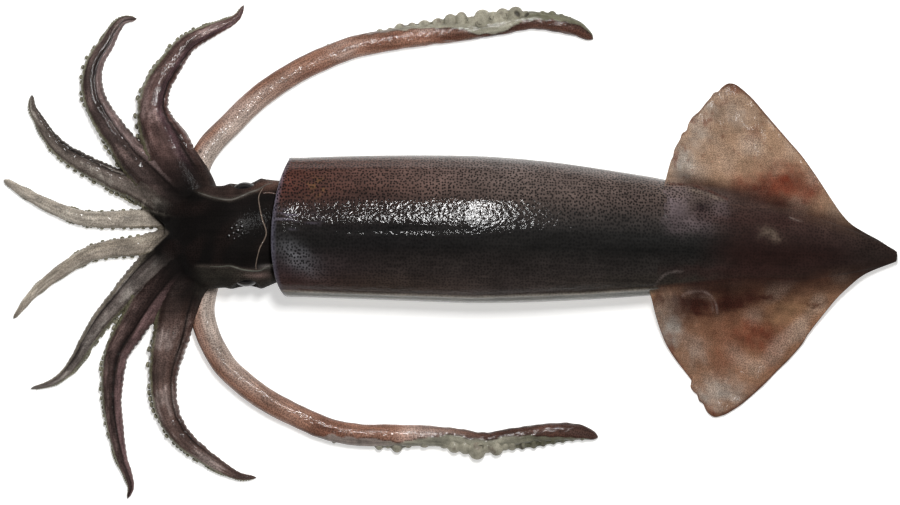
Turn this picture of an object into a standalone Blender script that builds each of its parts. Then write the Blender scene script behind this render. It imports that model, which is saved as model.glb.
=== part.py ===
"""A whole raw squid lying belly down, as one body of mantle, fins, head, arms and tentacles, and its two eyes.

Metres, +Z up. The animal lies along X, head towards -X and tail towards +X, so its right side is +Y.
It rests on the plane z = 0, and the origin is on that plane, under the middle of its outline.
Arms are numbered as on a live squid, 1 on the back to 4 on the belly, with a tentacle between 3 and 4.
"""

import math

import bmesh
import bpy
from mathutils import Vector

MM = 0.001

# Mantle: a soft oval tube that sags flat on its belly and narrows to a pointed tail.
FRONT_X = -73 * MM
TAIL_X = 203 * MM
WIDEST_X = 8 * MM
HALF_WIDTH = 33.6 * MM
FRONT_HALF_WIDTH = 31.6 * MM
HEIGHT = 41.5 * MM
FRONT_HEIGHT = 39 * MM
TAIL_HEIGHT = 4 * MM
TAIL_HALF_WIDTH = 2.2 * MM
FRONT_Y = 11.4 * MM
TAIL_Y = -1.6 * MM
WALL = 3.2 * MM
BACK_LOBE = 7.5 * MM
BELLY_NOTCH = 4 * MM
BACK_ROLL = math.radians(12)
POCKET_REACH = 20 * MM
POCKET_ROUND = 4 * MM
POCKET_END_X = -62 * MM
BACK_SHARE = 0.56
BELLY_SHARE = 0.47
MANTLE_RINGS = 24
MANTLE_SIDES = 28

# Fins: one thin plate through the tail half of the mantle.
# Each outline runs in millimetres from the fin's front root, round its corner, to the tail.
FIN_OUTLINE_RIGHT = [
    (96, 32), (99.5, 42.5), (104.5, 53), (112.5, 64), (120.5, 73), (127, 77.4), (133.5, 74.6),
    (147, 60.5), (161, 43.2), (171.3, 27), (181, 13.7), (191, 7), (200, 1.4)
]
FIN_OUTLINE_LEFT = [
    (90, -18.5), (92.5, -30), (97.5, -44.5), (105.5, -56), (112.5, -66), (119, -75), (127.5, -72.6),
    (145, -59), (158.5, -43.8), (167.5, -30), (180, -17.4), (191, -9.4), (200, -5)
]
FIN_FRONT_X = 90 * MM
FIN_BACK_X = 200 * MM
FIN_ROOT_THICKNESS = 4 * MM
FIN_EDGE_THICKNESS = 1.3 * MM
FIN_ROOT_HEIGHT = 0.6
FIN_LIFT = 0.2 * MM
FIN_DRAPE = 38 * MM
FIN_ROWS = 26
FIN_COLUMNS = 6

# Head: flattened oval sections as (x, y of the middle, half width, underside, top) in millimetres.
# They run from the neck, which joins the mantle behind the pocket, to the front of the crown of arms.
HEAD_SECTIONS = [
    (-54, 10, 18, 10, 27), (-60, 10, 21.4, 6.4, 30.4), (-67, 10, 22, 5.4, 31),
    (-74, 9.8, 22.4, 5, 31.6), (-79, 9.4, 23.3, 4.4, 32), (-83, 8.8, 24.6, 3.6, 32.4),
    (-92, 8, 24.2, 2.6, 32), (-101, 7.2, 23, 0.5, 29.5), (-110, 7, 23.5, -1.5, 26.5),
    (-119, 8, 21.5, -1.5, 22), (-125.5, 8.6, 16, 0.5, 17), (-129, 9, 8.5, 3, 12)
]
HEAD_SIDES = 22

# Funnel: the flattened water jet under the neck, its last sections turned inward as a shallow mouth.
FUNNEL_SECTIONS = [
    (-69, 10, 11, 3.2, 12), (-75, 9.8, 11, 2.6, 11), (-81.5, 9.2, 10.5, -0.5, 9),
    (-91, 8.4, 8, -0.5, 8), (-99, 8, 5.6, 0.3, 6.8), (-99.8, 8, 4.6, 1, 6.2), (-97, 8, 3.8, 1.6, 5.6)
]
FUNNEL_SIDES = 16
EYE_SIZE = Vector((6.6, 5.6, 6.8)) * MM
EYES = {"eye_right": Vector((-92.5, 26.3, 18.8)) * MM, "eye_left": Vector((-92, -9.9, 19.2)) * MM}
EYE_CLEARANCE = 0.4 * MM

# Limbs: a route over the table in millimetres from inside the head to the tip, the half width at the root,
# the power that it tapers by, how much the root is flared by the skin between the arms, and the root's height.
ARMS = {
    "arm_1_right": dict(
        route=[
            (-112, 11), (-126, 19.5), (-141, 28.9), (-152.5, 33.4), (-166, 40.2), (-175, 45.6),
            (-182, 52.6), (-187.4, 61.3), (-189.8, 66), (-190, 71.6)
        ],
        half_width=7.2, taper=0.56, flare=0.6, root_height=14),
    "arm_2_right": dict(
        route=[
            (-110, 14), (-125, 25.5), (-136, 36), (-144.4, 44), (-150.2, 51.3), (-157.3, 61.5),
            (-162.2, 72.7), (-161.6, 85), (-155.4, 95.5), (-152.3, 101.2), (-148.4, 105.5),
            (-142.3, 106.2)
        ],
        half_width=8.8, taper=0.56, flare=1.6, root_height=12.5),
    "arm_3_right": dict(
        route=[
            (-113, 17), (-118, 29), (-126.4, 42.5), (-132.6, 55.5), (-134.8, 65), (-132.8, 75.5),
            (-126.4, 86), (-118.9, 95.2), (-108, 101.1), (-100.5, 104.4), (-96.3, 107.6),
            (-93.8, 112.4)
        ],
        half_width=10.4, taper=0.7, flare=2.4, root_height=10),
    "arm_4_right": dict(
        route=[
            (-112, 12), (-126, 15.5), (-145, 15.2), (-164, 15.2), (-178, 19.4), (-190.6, 25.6),
            (-202.8, 33)
        ],
        half_width=4.8, taper=0.4, flare=0, root_height=5),
    "arm_1_left": dict(
        route=[
            (-112, 7), (-127, 0), (-137.5, -8.4), (-145, -15.8), (-151.8, -23.2), (-158.4, -30.7),
            (-164.5, -40), (-169.5, -48.5), (-175.5, -55.6), (-182, -59.6), (-190.6, -61.9)
        ],
        half_width=8, taper=0.78, flare=0.6, root_height=14),
    "arm_2_left": dict(
        route=[
            (-112, 2), (-126, -9), (-136, -21), (-144.5, -34), (-151.2, -46), (-153.4, -59.2),
            (-153, -73), (-149.5, -92.4), (-146, -102), (-145, -107), (-146.6, -111.8)
        ],
        half_width=8.4, taper=0.64, flare=0.9, root_height=12.5),
    "arm_3_left": dict(
        route=[
            (-109, -3), (-118.5, -12), (-123.5, -24), (-126.5, -38), (-129.4, -50), (-130.2, -61),
            (-127.6, -74), (-121.3, -84.3), (-111.5, -92.5), (-100.7, -99.4), (-94.7, -101.9),
            (-88, -102.3)
        ],
        half_width=9.6, taper=0.68, flare=1.2, root_height=10),
    "arm_4_left": dict(
        route=[
            (-112, 5), (-127, 5.6), (-141, 3.1), (-156, 1.3), (-165.3, -1.5), (-177.8, -9.3),
            (-189.3, -18.6), (-198.4, -30)
        ],
        half_width=5.5, taper=0.6, flare=0, root_height=5),
}
ARM_TIP = 0.4
ARM_POINTS = 20
FLARE_SHARE = 0.45
TENTACLES = {
    "tentacle_right": dict(
        route=[
            (-106, 20), (-113, 29), (-114.3, 38), (-109.3, 48), (-99.9, 57.9), (-87.8, 69.7),
            (-73.8, 79.6), (-59, 87.4), (-43, 93.4), (-26.5, 96.6), (-10, 98.9), (8, 100.7),
            (24, 103.1), (36, 105.4), (48, 104.2), (57, 101.9), (65, 97)
        ],
        pad=[
            (-32, 99.6), (-15, 102.4), (0, 104.8), (14, 106.6), (26, 107.8), (32, 108.2), (40, 107.3),
            (50, 106.6), (57.5, 104.4)
        ],
        root_height=7),
    "tentacle_left": dict(
        route=[
            (-105, -2), (-110, -13), (-112.3, -26), (-109.8, -37.5), (-104.9, -47.1), (-99.6, -54.1),
            (-86.1, -65.2), (-70.7, -73.6), (-54.7, -80.4), (-40, -82.9), (-28.6, -83), (-14, -83.2),
            (0, -83.9), (16, -85.6), (28, -83.8), (40, -82), (52, -81.3), (60, -81.8), (67.2, -83.9)
        ],
        pad=[
            (-34, -87.4), (-26, -88.4), (-14, -86.4), (0, -88.2), (12, -90.4), (20, -89.2),
            (28, -87.2), (38, -86.6), (48, -85), (58, -83.6)
        ],
        root_height=7),
}
STALK_HALF_WIDTH = 5.7
STALK_NARROWS_TO = 4.9
CLUB_HALF_WIDTH = 4
CLUB_STARTS = 0.64
CLUB_BLEND = 0.12
CLUB_TIP = 1.4
TIP_STARTS = 0.93
PAD_SUCKERS = 12
PAD_STEPS = 3
PAD_WAIST = 0.14
PAD_SUCKER_RADIUS = 3.5
PAD_END_RADIUS = 1.5
TENTACLE_POINTS = 34
PATH_STEPS = 24
LIMB_REST = 0.7
ROOT_SHARE = 0.42

# A limb's section for a half width of one: flat belly, round flanks and a low keel along the back.
LIMB_SECTION = [
    (0, 0.8), (0.62, 0.6), (1, 0.12), (0.95, -0.4), (0.5, -0.78), (-0.5, -0.78), (-0.95, -0.4),
    (-1, 0.12), (-0.62, 0.6)
]

SKIN_COLOUR = (0.062, 0.040, 0.035)
SKIN_ROUGHNESS = 0.32
EYE_COLOUR = (0.022, 0.020, 0.020)
EYE_ROUGHNESS = 0.1


def clear_scene():
    for item in list(bpy.data.objects):
        bpy.data.objects.remove(item)


def new_collection(name):
    collection = bpy.data.collections.new(name)
    bpy.context.scene.collection.children.link(collection)
    return collection


def new_material(name, colour, roughness):
    material = bpy.data.materials.new(name)
    material.use_nodes = True
    shader = material.node_tree.nodes["Principled BSDF"]
    shader.inputs["Base Color"].default_value = (*colour, 1)
    shader.inputs["Roughness"].default_value = roughness
    shader.inputs["Metallic"].default_value = 0
    return material


def moved_to(collection, item):
    for owner in list(item.users_collection):
        owner.objects.unlink(item)
    collection.objects.link(item)
    return item


def loft(name, rings, collection):
    """A closed skin through rings of points, each end closed by a fan to its ring's middle."""
    sides = len(rings[0])
    points = [point for ring in rings for point in ring]
    faces = []
    for row in range(len(rings) - 1):
        for side in range(sides):
            after = (side + 1) % sides
            here = row * sides
            faces.append((here + side, here + after, here + sides + after, here + sides + side))
    for row, turn in ((0, -1), (len(rings) - 1, 1)):
        middle = len(points)
        points.append(sum(rings[row], Vector()) / sides)
        for side in range(sides):
            edge = (row * sides + side, row * sides + (side + 1) % sides)
            faces.append((*edge[::turn], middle))
    mesh = bpy.data.meshes.new(name)
    mesh.from_pydata(points, [], faces)
    made = bpy.data.objects.new(name, mesh)
    collection.objects.link(made)
    return made


def smooth_path(points, count):
    """count points, evenly spaced along a Catmull-Rom curve through the given ones."""
    knots = [Vector(p) for p in points]
    knots = [2 * knots[0] - knots[1], *knots, 2 * knots[-1] - knots[-2]]
    fine = []
    for a, b, c, d in zip(knots, knots[1:], knots[2:], knots[3:]):
        for step in range(PATH_STEPS):
            t = step / PATH_STEPS
            squared = (2 * a - 5 * b + 4 * c - d) * t**2
            cubed = (3 * b - a - 3 * c + d) * t**3
            fine.append(0.5 * (2 * b + (c - a) * t + squared + cubed))
    fine.append(knots[-2])
    run = [0.0]
    for a, b in zip(fine, fine[1:]):
        run.append(run[-1] + (b - a).length)
    path = []
    at = 0
    for index in range(count):
        wanted = run[-1] * index / (count - 1)
        while at < len(run) - 2 and run[at + 1] < wanted:
            at += 1
        path.append(fine[at].lerp(fine[at + 1], (wanted - run[at]) / (run[at + 1] - run[at])))
    return path


def mantle_half_width(x):
    if x < WIDEST_X:
        forward = (WIDEST_X - x) / (WIDEST_X - FRONT_X)
        return HALF_WIDTH - (HALF_WIDTH - FRONT_HALF_WIDTH) * forward**1.6
    back = min((x - WIDEST_X) / (TAIL_X - WIDEST_X), 1)
    return TAIL_HALF_WIDTH + (HALF_WIDTH - TAIL_HALF_WIDTH) * (1 - back**1.6) ** 0.8


def mantle_height(x):
    if x < WIDEST_X:
        return HEIGHT - (HEIGHT - FRONT_HEIGHT) * (WIDEST_X - x) / (WIDEST_X - FRONT_X)
    back = min((x - WIDEST_X) / (TAIL_X - WIDEST_X), 1)
    return TAIL_HEIGHT + (HEIGHT - TAIL_HEIGHT) * (1 - back**1.5) ** 0.9


def mantle_middle_y(x):
    back = max((x - FRONT_X) / (TAIL_X - FRONT_X), 0)
    return FRONT_Y - (FRONT_Y - TAIL_Y) * back**2.2


def mantle_point(x, angle, inset=0.0):
    """A point of the oval section at x, whose widest line is low and whose belly sags just past the table."""
    height = mantle_height(x)
    rise = BACK_SHARE if math.sin(angle) > 0 else BELLY_SHARE
    y = mantle_middle_y(x) + (mantle_half_width(x) - inset) * math.cos(angle)
    z = (1 - BACK_SHARE) * height + (rise * height - inset) * math.sin(angle)
    return Vector((x, y, z))


def rim_x(angle):
    """The free rim: a lobe forward over the neck, and a shallow notch back under the funnel."""
    from_back = math.cos(angle - math.pi / 2 - BACK_ROLL)
    if from_back > 0:
        return FRONT_X - BACK_LOBE * from_back**1.3
    return FRONT_X + BELLY_NOTCH * from_back**2


def section_angles():
    return [2 * math.pi * side / MANTLE_SIDES for side in range(MANTLE_SIDES)]


def mantle_ring(share, inset):
    """The section at a share of the way from the free rim to the tail."""
    return [mantle_point(rim_x(a) * (1 - share) + TAIL_X * share, a, inset) for a in section_angles()]


def make_mantle(collection):
    """The closed outside of the sac, with a rounded lip along its free rim."""
    rings = []
    for share, inset in ((0, 0.45 * WALL), (0.0015, 0.12 * WALL), (0.006, 0)):
        rings.append(mantle_ring(share, inset))
    for row in range(2, MANTLE_RINGS + 1):
        rings.append(mantle_ring((row / MANTLE_RINGS) ** 0.85, 0))
    return loft("squid", rings, collection)


def make_pocket(helpers):
    """The space between the mantle's free rim and the neck."""
    steps = [(FRONT_X - POCKET_REACH, WALL), (FRONT_X, WALL)]
    steps += [(POCKET_END_X - POCKET_ROUND, WALL), (POCKET_END_X, 2.2 * WALL)]
    rings = [[mantle_point(x, a, inset) for a in section_angles()] for x, inset in steps]
    return loft("pocket", rings, helpers)


def fin_sheet_point(along, across, edge):
    """across runs from the mantle's middle line at 0 to the fin's edge at 1; the fin sinks off the flank."""
    axis_x = FIN_FRONT_X + (FIN_BACK_X - FIN_FRONT_X) * along
    middle = Vector((axis_x, mantle_middle_y(axis_x), 0))
    place = middle.lerp(edge, across)
    off_flank = abs(place.y - mantle_middle_y(place.x)) - mantle_half_width(place.x)
    root_z = FIN_ROOT_HEIGHT * mantle_height(place.x)
    resting_z = 0.5 * FIN_EDGE_THICKNESS + FIN_LIFT
    place.z = resting_z + (root_z - resting_z) * max(1 - max(off_flank, 0) / FIN_DRAPE, 0) ** 1.7
    return place


def make_fins(helpers):
    """Both fins as one draped sheet with Solidify, thick along the middle and thin at the outline."""
    right = smooth_path([Vector((x, y, 0)) * MM for x, y in FIN_OUTLINE_RIGHT], FIN_ROWS)
    left = smooth_path([Vector((x, y, 0)) * MM for x, y in FIN_OUTLINE_LEFT], FIN_ROWS)
    columns = 2 * FIN_COLUMNS + 1
    bpy.ops.mesh.primitive_grid_add(x_subdivisions=columns - 1, y_subdivisions=FIN_ROWS - 1, size=1)
    sheet = bpy.context.object
    sheet.name = "fins"
    thick = sheet.vertex_groups.new(name="thick")
    for index, vertex in enumerate(sheet.data.vertices):
        row, column = divmod(index, columns)
        across = (column - FIN_COLUMNS) / FIN_COLUMNS
        edge = right[row] if across >= 0 else left[row]
        vertex.co = fin_sheet_point(row / (FIN_ROWS - 1), abs(across), edge)
        thick.add([index], 1 - abs(across) ** 1.3, "REPLACE")
    solidify = sheet.modifiers.new("thickness", "SOLIDIFY")
    solidify.thickness = FIN_ROOT_THICKNESS
    solidify.offset = 0
    solidify.vertex_group = "thick"
    solidify.thickness_vertex_group = FIN_EDGE_THICKNESS / FIN_ROOT_THICKNESS
    return moved_to(helpers, sheet)


def section_profile(helpers):
    """The closed outline that every limb is swept with."""
    curve = bpy.data.curves.new("limb_section", "CURVE")
    curve.dimensions = "2D"
    spline = curve.splines.new("POLY")
    spline.points.add(len(LIMB_SECTION) - 1)
    for point, (across, up) in zip(spline.points, LIMB_SECTION):
        point.co = (across, up, 0, 1)
    spline.use_cyclic_u = True
    profile = bpy.data.objects.new("limb_section", curve)
    helpers.objects.link(profile)
    return profile


def swept(name, path, radii, helpers, profile=None):
    """A tube along path whose radius changes from point to point, as a closed mesh."""
    curve = bpy.data.curves.new(name, "CURVE")
    curve.dimensions = "3D"
    curve.twist_mode = "Z_UP"
    curve.use_fill_caps = True
    if profile:
        curve.bevel_mode = "OBJECT"
        curve.bevel_object = profile
    else:
        curve.bevel_depth = 1
        curve.bevel_resolution = 2
    spline = curve.splines.new("POLY")
    spline.points.add(len(path) - 1)
    for point, place, radius in zip(spline.points, path, radii):
        point.co = (*place, 1)
        point.radius = radius
    tube = bpy.data.objects.new(name, curve)
    helpers.objects.link(tube)
    bpy.context.view_layer.update()
    graph = bpy.context.evaluated_depsgraph_get()
    mesh = bpy.data.meshes.new_from_object(tube.evaluated_get(graph))
    bpy.data.objects.remove(tube)
    return welded_object(name, mesh, helpers)


def welded_object(name, mesh, collection):
    work = bmesh.new()
    work.from_mesh(mesh)
    bmesh.ops.remove_doubles(work, verts=work.verts, dist=0.00002)
    bmesh.ops.recalc_face_normals(work, faces=work.faces)
    work.to_mesh(mesh)
    work.free()
    made = bpy.data.objects.new(name, mesh)
    collection.objects.link(made)
    return made


def join(base, other, operation):
    modifier = base.modifiers.new(operation.lower() + "_" + other.name, "BOOLEAN")
    modifier.operation = operation
    modifier.object = other
    modifier.solver = "EXACT"


def limb_path(route, half_widths, root_height):
    """The flat route raised so that the limb comes down from its root and then rests on the table."""
    path = smooth_path([Vector((x, y, 0)) for x, y in route], len(half_widths))
    for index, (place, half_width) in enumerate(zip(path, half_widths)):
        along = index / (len(path) - 1)
        resting = LIMB_REST * half_width
        drop = max(1 - along / ROOT_SHARE, 0) ** 1.6
        place.z = resting + max(root_height - resting, 0) * drop
    return [place * MM for place in path]


def make_arm(name, arm, profile, helpers):
    half_widths = []
    for index in range(ARM_POINTS):
        along = index / (ARM_POINTS - 1)
        flare = arm["flare"] * math.sin(math.pi * min(along / FLARE_SHARE, 1))
        half_widths.append(ARM_TIP + (arm["half_width"] - ARM_TIP) * (1 - along) ** arm["taper"] + flare)
    path = limb_path(arm["route"], half_widths, arm["root_height"])
    return swept(name, path, [h * MM for h in half_widths], helpers, profile)


def tentacle_half_width(along):
    """A stalk that narrows slowly, then the club's back, then a blunt tip."""
    stalk = STALK_HALF_WIDTH + (STALK_NARROWS_TO - STALK_HALF_WIDTH) * min(along / CLUB_STARTS, 1)
    into_club = min(max((along - CLUB_STARTS) / CLUB_BLEND, 0), 1)
    width = stalk + (CLUB_HALF_WIDTH - stalk) * into_club
    to_tip = max((along - TIP_STARTS) / (1 - TIP_STARTS), 0)
    return width + (CLUB_TIP - width) * to_tip**2


def make_tentacle(name, tentacle, profile, helpers):
    half_widths = [tentacle_half_width(index / (TENTACLE_POINTS - 1)) for index in range(TENTACLE_POINTS)]
    path = limb_path(tentacle["route"], half_widths, tentacle["root_height"])
    return swept(name, path, [h * MM for h in half_widths], helpers, profile)


def make_sucker_pad(name, route, helpers):
    """The club's row of big suckers as a string of beads, largest in the middle of the club."""
    count = PAD_SUCKERS * PAD_STEPS + 1
    path = smooth_path([Vector((x, y, 0)) for x, y in route], count)
    radii = []
    for index, place in enumerate(path):
        along = index / (count - 1)
        size = PAD_END_RADIUS + (PAD_SUCKER_RADIUS - PAD_END_RADIUS) * math.sin(math.pi * along**1.15) ** 1.3
        bead = 1 - PAD_WAIST * (1 - abs(math.sin(math.pi * index / PAD_STEPS)))
        radii.append(size * bead * MM)
        place.z = size * 0.9
    return swept(name, [place * MM for place in path], radii, helpers)


def oval_rings(sections, sides):
    rings = []
    for x, middle, half_width, under, top in sections:
        ring = []
        for side in range(sides):
            angle = 2 * math.pi * side / sides
            up = 0.5 * (top + under) + 0.5 * (top - under) * math.sin(angle)
            ring.append(Vector((x, middle + half_width * math.cos(angle), up)) * MM)
        rings.append(ring)
    return rings[::-1]


def make_head(helpers):
    """The head with its neck and funnel, and every limb that springs from it."""
    head = loft("head", oval_rings(HEAD_SECTIONS, HEAD_SIDES), helpers)
    join(head, loft("funnel", oval_rings(FUNNEL_SECTIONS, FUNNEL_SIDES), helpers), "UNION")
    profile = section_profile(helpers)
    for name, arm in ARMS.items():
        join(head, make_arm(name, arm, profile, helpers), "UNION")
    for name, tentacle in TENTACLES.items():
        join(head, make_tentacle(name, tentacle, profile, helpers), "UNION")
        join(head, make_sucker_pad(name + "_pad", tentacle["pad"], helpers), "UNION")
    return head


def make_squid(parts, helpers):
    squid = make_mantle(parts)
    squid.data.materials.append(new_material("squid_skin", SKIN_COLOUR, SKIN_ROUGHNESS))
    join(squid, make_fins(helpers), "UNION")
    join(squid, make_pocket(helpers), "DIFFERENCE")
    join(squid, make_head(helpers), "UNION")
    for name, place in EYES.items():
        join(squid, eyeball(name + "_socket", place, helpers, EYE_CLEARANCE), "DIFFERENCE")
    join(squid, make_table_cutter(helpers), "DIFFERENCE")


def eyeball(name, place, collection, grow=0.0):
    bpy.ops.mesh.primitive_uv_sphere_add(segments=14, ring_count=8, radius=1)
    ball = bpy.context.object
    ball.name = name
    size = EYE_SIZE + Vector((grow, grow, grow))
    for vertex in ball.data.vertices:
        vertex.co = place + Vector(a * b for a, b in zip(vertex.co, size))
    return moved_to(collection, ball)


def make_eyes(parts):
    material = new_material("eye_wet", EYE_COLOUR, EYE_ROUGHNESS)
    for name, place in EYES.items():
        eyeball(name, place, parts).data.materials.append(material)


def make_table_cutter(helpers):
    """Everything below z = 0 is cut away, as soft flesh lies flat on a table."""
    bpy.ops.mesh.primitive_cube_add(size=1)
    block = bpy.context.object
    block.name = "below_table"
    size = Vector((600, 400, 60)) * MM
    for vertex in block.data.vertices:
        vertex.co = Vector(a * b for a, b in zip(vertex.co, size)) - Vector((0, 0, size.z / 2))
    return moved_to(helpers, block)


def main():
    clear_scene()
    parts = new_collection("whole_raw_squid")
    helpers = new_collection("helpers")
    make_squid(parts, helpers)
    make_eyes(parts)
    for helper in helpers.objects:
        helper.hide_render = True
        helper.display_type = "WIRE"
    for item in (*parts.objects, *helpers.objects):
        if item.type == "MESH":
            item.data.shade_smooth()


main()
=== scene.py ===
import bpy
import numpy as np
from mathutils.bvhtree import BVHTree
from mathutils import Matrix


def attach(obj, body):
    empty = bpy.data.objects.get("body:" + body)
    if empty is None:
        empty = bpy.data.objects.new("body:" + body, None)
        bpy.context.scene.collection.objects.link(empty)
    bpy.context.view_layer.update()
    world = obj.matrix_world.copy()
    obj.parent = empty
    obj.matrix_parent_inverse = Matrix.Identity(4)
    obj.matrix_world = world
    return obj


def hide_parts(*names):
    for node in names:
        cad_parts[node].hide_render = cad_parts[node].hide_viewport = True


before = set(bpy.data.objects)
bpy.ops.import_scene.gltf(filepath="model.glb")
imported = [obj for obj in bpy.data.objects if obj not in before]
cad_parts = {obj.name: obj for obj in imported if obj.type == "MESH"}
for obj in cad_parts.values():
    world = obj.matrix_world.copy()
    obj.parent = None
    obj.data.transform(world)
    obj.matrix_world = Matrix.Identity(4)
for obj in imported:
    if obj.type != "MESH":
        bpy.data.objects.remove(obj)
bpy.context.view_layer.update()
mm = 0.001
pi = np.pi


# small tools: colours, paths, meshes and nodes

def toLinear(code):
    # an sRGB hex colour as three linear numbers
    parts = np.array([int(code[i:i + 2], 16) / 255 for i in (1, 3, 5)])
    return np.where(parts <= 0.04045, parts / 12.92, ((parts + 0.055) / 1.055) ** 2.4)


def smoothStep(value, low, high):
    # 0 below low, 1 above high, and an S-curve between them
    t = np.clip((value - low) / (high - low), 0, 1)
    return t * t * (3 - 2 * t)


def hump(distance, width):
    # a bell curve: 1 in the middle, falling away over width
    return np.exp(-(distance / width) ** 2)


def softNoise(places, size, seed):
    # the mean of ten sine waves in scattered directions, each about size long, roughly -1 to 1
    rng = np.random.default_rng(seed)
    ways = rng.normal(size=(10, places.shape[-1]))
    ways *= (2 * pi / size) * rng.uniform(0.6, 1.5, (10, 1)) / np.linalg.norm(ways, axis=1, keepdims=True)
    return np.sin(places @ ways.T + rng.uniform(0, 2 * pi, 10)).mean(axis=-1) * 2.2


def smoothPath(points, count):
    # a Catmull-Rom curve through the points, sampled at count places with equal lengths between them
    p = np.array(points, float)
    p = np.vstack([2 * p[0] - p[1], p, 2 * p[-1] - p[-2]])
    t = (np.arange(24) / 24)[None, :, None]
    a, b, c, d = (p[i:len(p) - 3 + i, None, :] for i in range(4))
    fine = 0.5 * (2 * b + (c - a) * t + (2 * a - 5 * b + 4 * c - d) * t ** 2 + (3 * b - a - 3 * c + d) * t ** 3)
    fine = np.vstack([fine.reshape(-1, p.shape[1]), p[-2]])
    run = np.concatenate([[0], np.cumsum(np.linalg.norm(np.diff(fine, axis=0), axis=1))])
    at = np.linspace(0, run[-1], count)
    return np.stack([np.interp(at, run, fine[:, k]) for k in range(p.shape[1])], axis=1)


def gridSkin(grid, capFirst=True, capLast=True):
    # points and faces of a tube of rows x sides points, each end closed by a fan to its own middle
    rows, sides = grid.shape[:2]
    index = np.arange(rows * sides).reshape(rows, sides)
    after = np.roll(index, -1, axis=1)
    quads = np.stack([index[:-1], after[:-1], after[1:], index[1:]], axis=-1).reshape(-1, 4)
    points = grid.reshape(-1, 3)
    fans = []
    for row, wanted in ((0, capFirst), (rows - 1, capLast)):
        if wanted:
            middle = np.full(sides, len(points))
            edge = (after[row], index[row]) if row == 0 else (index[row], after[row])
            fans.append(np.stack([*edge, middle], axis=-1))
            points = np.vstack([points, grid[row].mean(axis=0)])
    faces = quads.tolist() + (np.vstack(fans).tolist() if fans else [])
    return points, faces


def signedVolume(points, faces):
    tris = np.array([(f[0], f[i], f[i + 1]) for f in faces for i in range(1, len(f) - 1)])
    a, b, c = (points[tris[:, k]] for k in range(3))
    return np.einsum("ij,ij->", a, np.cross(b, c)) / 6


def newPiece(name, points, faces, replaced, material):
    # a mesh object at the origin with its faces outward, riding on the whole animal
    if signedVolume(points, faces) < 0:
        faces = [f[::-1] for f in faces]
    mesh = bpy.data.meshes.new(name)
    mesh.from_pydata(points.tolist(), [], faces)
    mesh.update()
    mesh.shade_smooth()
    piece = bpy.data.objects.new(name, mesh)
    bpy.context.scene.collection.objects.link(piece)
    mesh.materials.append(material)
    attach(piece, "root")
    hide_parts(replaced)
    return piece


def paint(piece, colour, dots, laid=None, specks=0.0):
    # stored on the points: base colour, how strongly it is spotted, and the skin laid flat (mm along, mm around) with
    # the strength of its fine specks as third number
    mesh = piece.data
    count = len(mesh.vertices)
    if laid is None:
        flat = np.empty(count * 3, np.float32)
        mesh.vertices.foreach_get("co", flat)
        laid = flat.reshape(-1, 3)[:, :2] / mm
    spread = np.zeros((count, 3), np.float32)
    spread[:, :2] = laid
    spread[:, 2] = specks
    mesh.attributes.new("laidFlat", "FLOAT_VECTOR", "POINT").data.foreach_set("vector", spread.ravel())
    rgba = np.ones((count, 4), np.float32)
    rgba[:, :3] = np.clip(colour, 0.001, 1)
    mesh.color_attributes.new("skinTone", "FLOAT_COLOR", "POINT").data.foreach_set("color", rgba.ravel())
    amount = np.broadcast_to(np.asarray(dots, np.float32), count)
    mesh.attributes.new("spotted", "FLOAT", "POINT").data.foreach_set("value", np.ascontiguousarray(amount))


def capped(values, ends=2):
    # a value for each grid point, followed by one for each end's middle point
    flat = values.reshape(-1, *values.shape[2:])
    tail = [values[0].mean(axis=0, keepdims=True), values[-1].mean(axis=0, keepdims=True)][:ends]
    return np.concatenate([flat, *tail])


def addNode(tree, kind, settings=None, inputs=None):
    # one shader node with its settings, and its inputs as values or as (node, output) links
    made = tree.nodes.new(kind)
    for key, value in (settings or {}).items():
        setattr(made, key, value)
    for key, value in (inputs or {}).items():
        if isinstance(value, tuple) and hasattr(value[0], "outputs"):
            tree.links.new(value[0].outputs[value[1]], made.inputs[key])
        else:
            made.inputs[key].default_value = value
    return made


def mixed(base, other, share):
    return base + (other - base) * np.asarray(share)[..., None]


# materials
# Raw squid skin: a thin elastic film over muscle, full of pigment sacs about 1 mm wide and 2 mm apart, under slime.
# The sacs read as dark dots, the film as fine crossing wrinkles, and the slime gives small sharp highlights.
skinLook = {
    "groundLift": 0.95,      # how much paler the film is between the sacs
    "dotDrop": 0.9,          # how much darker an open sac is
    "smallDots": 0.4,        # the small dots' strength beside the big ones
    "speckLift": 0.4,        # how much paler the ground is between the fine specks
}


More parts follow.
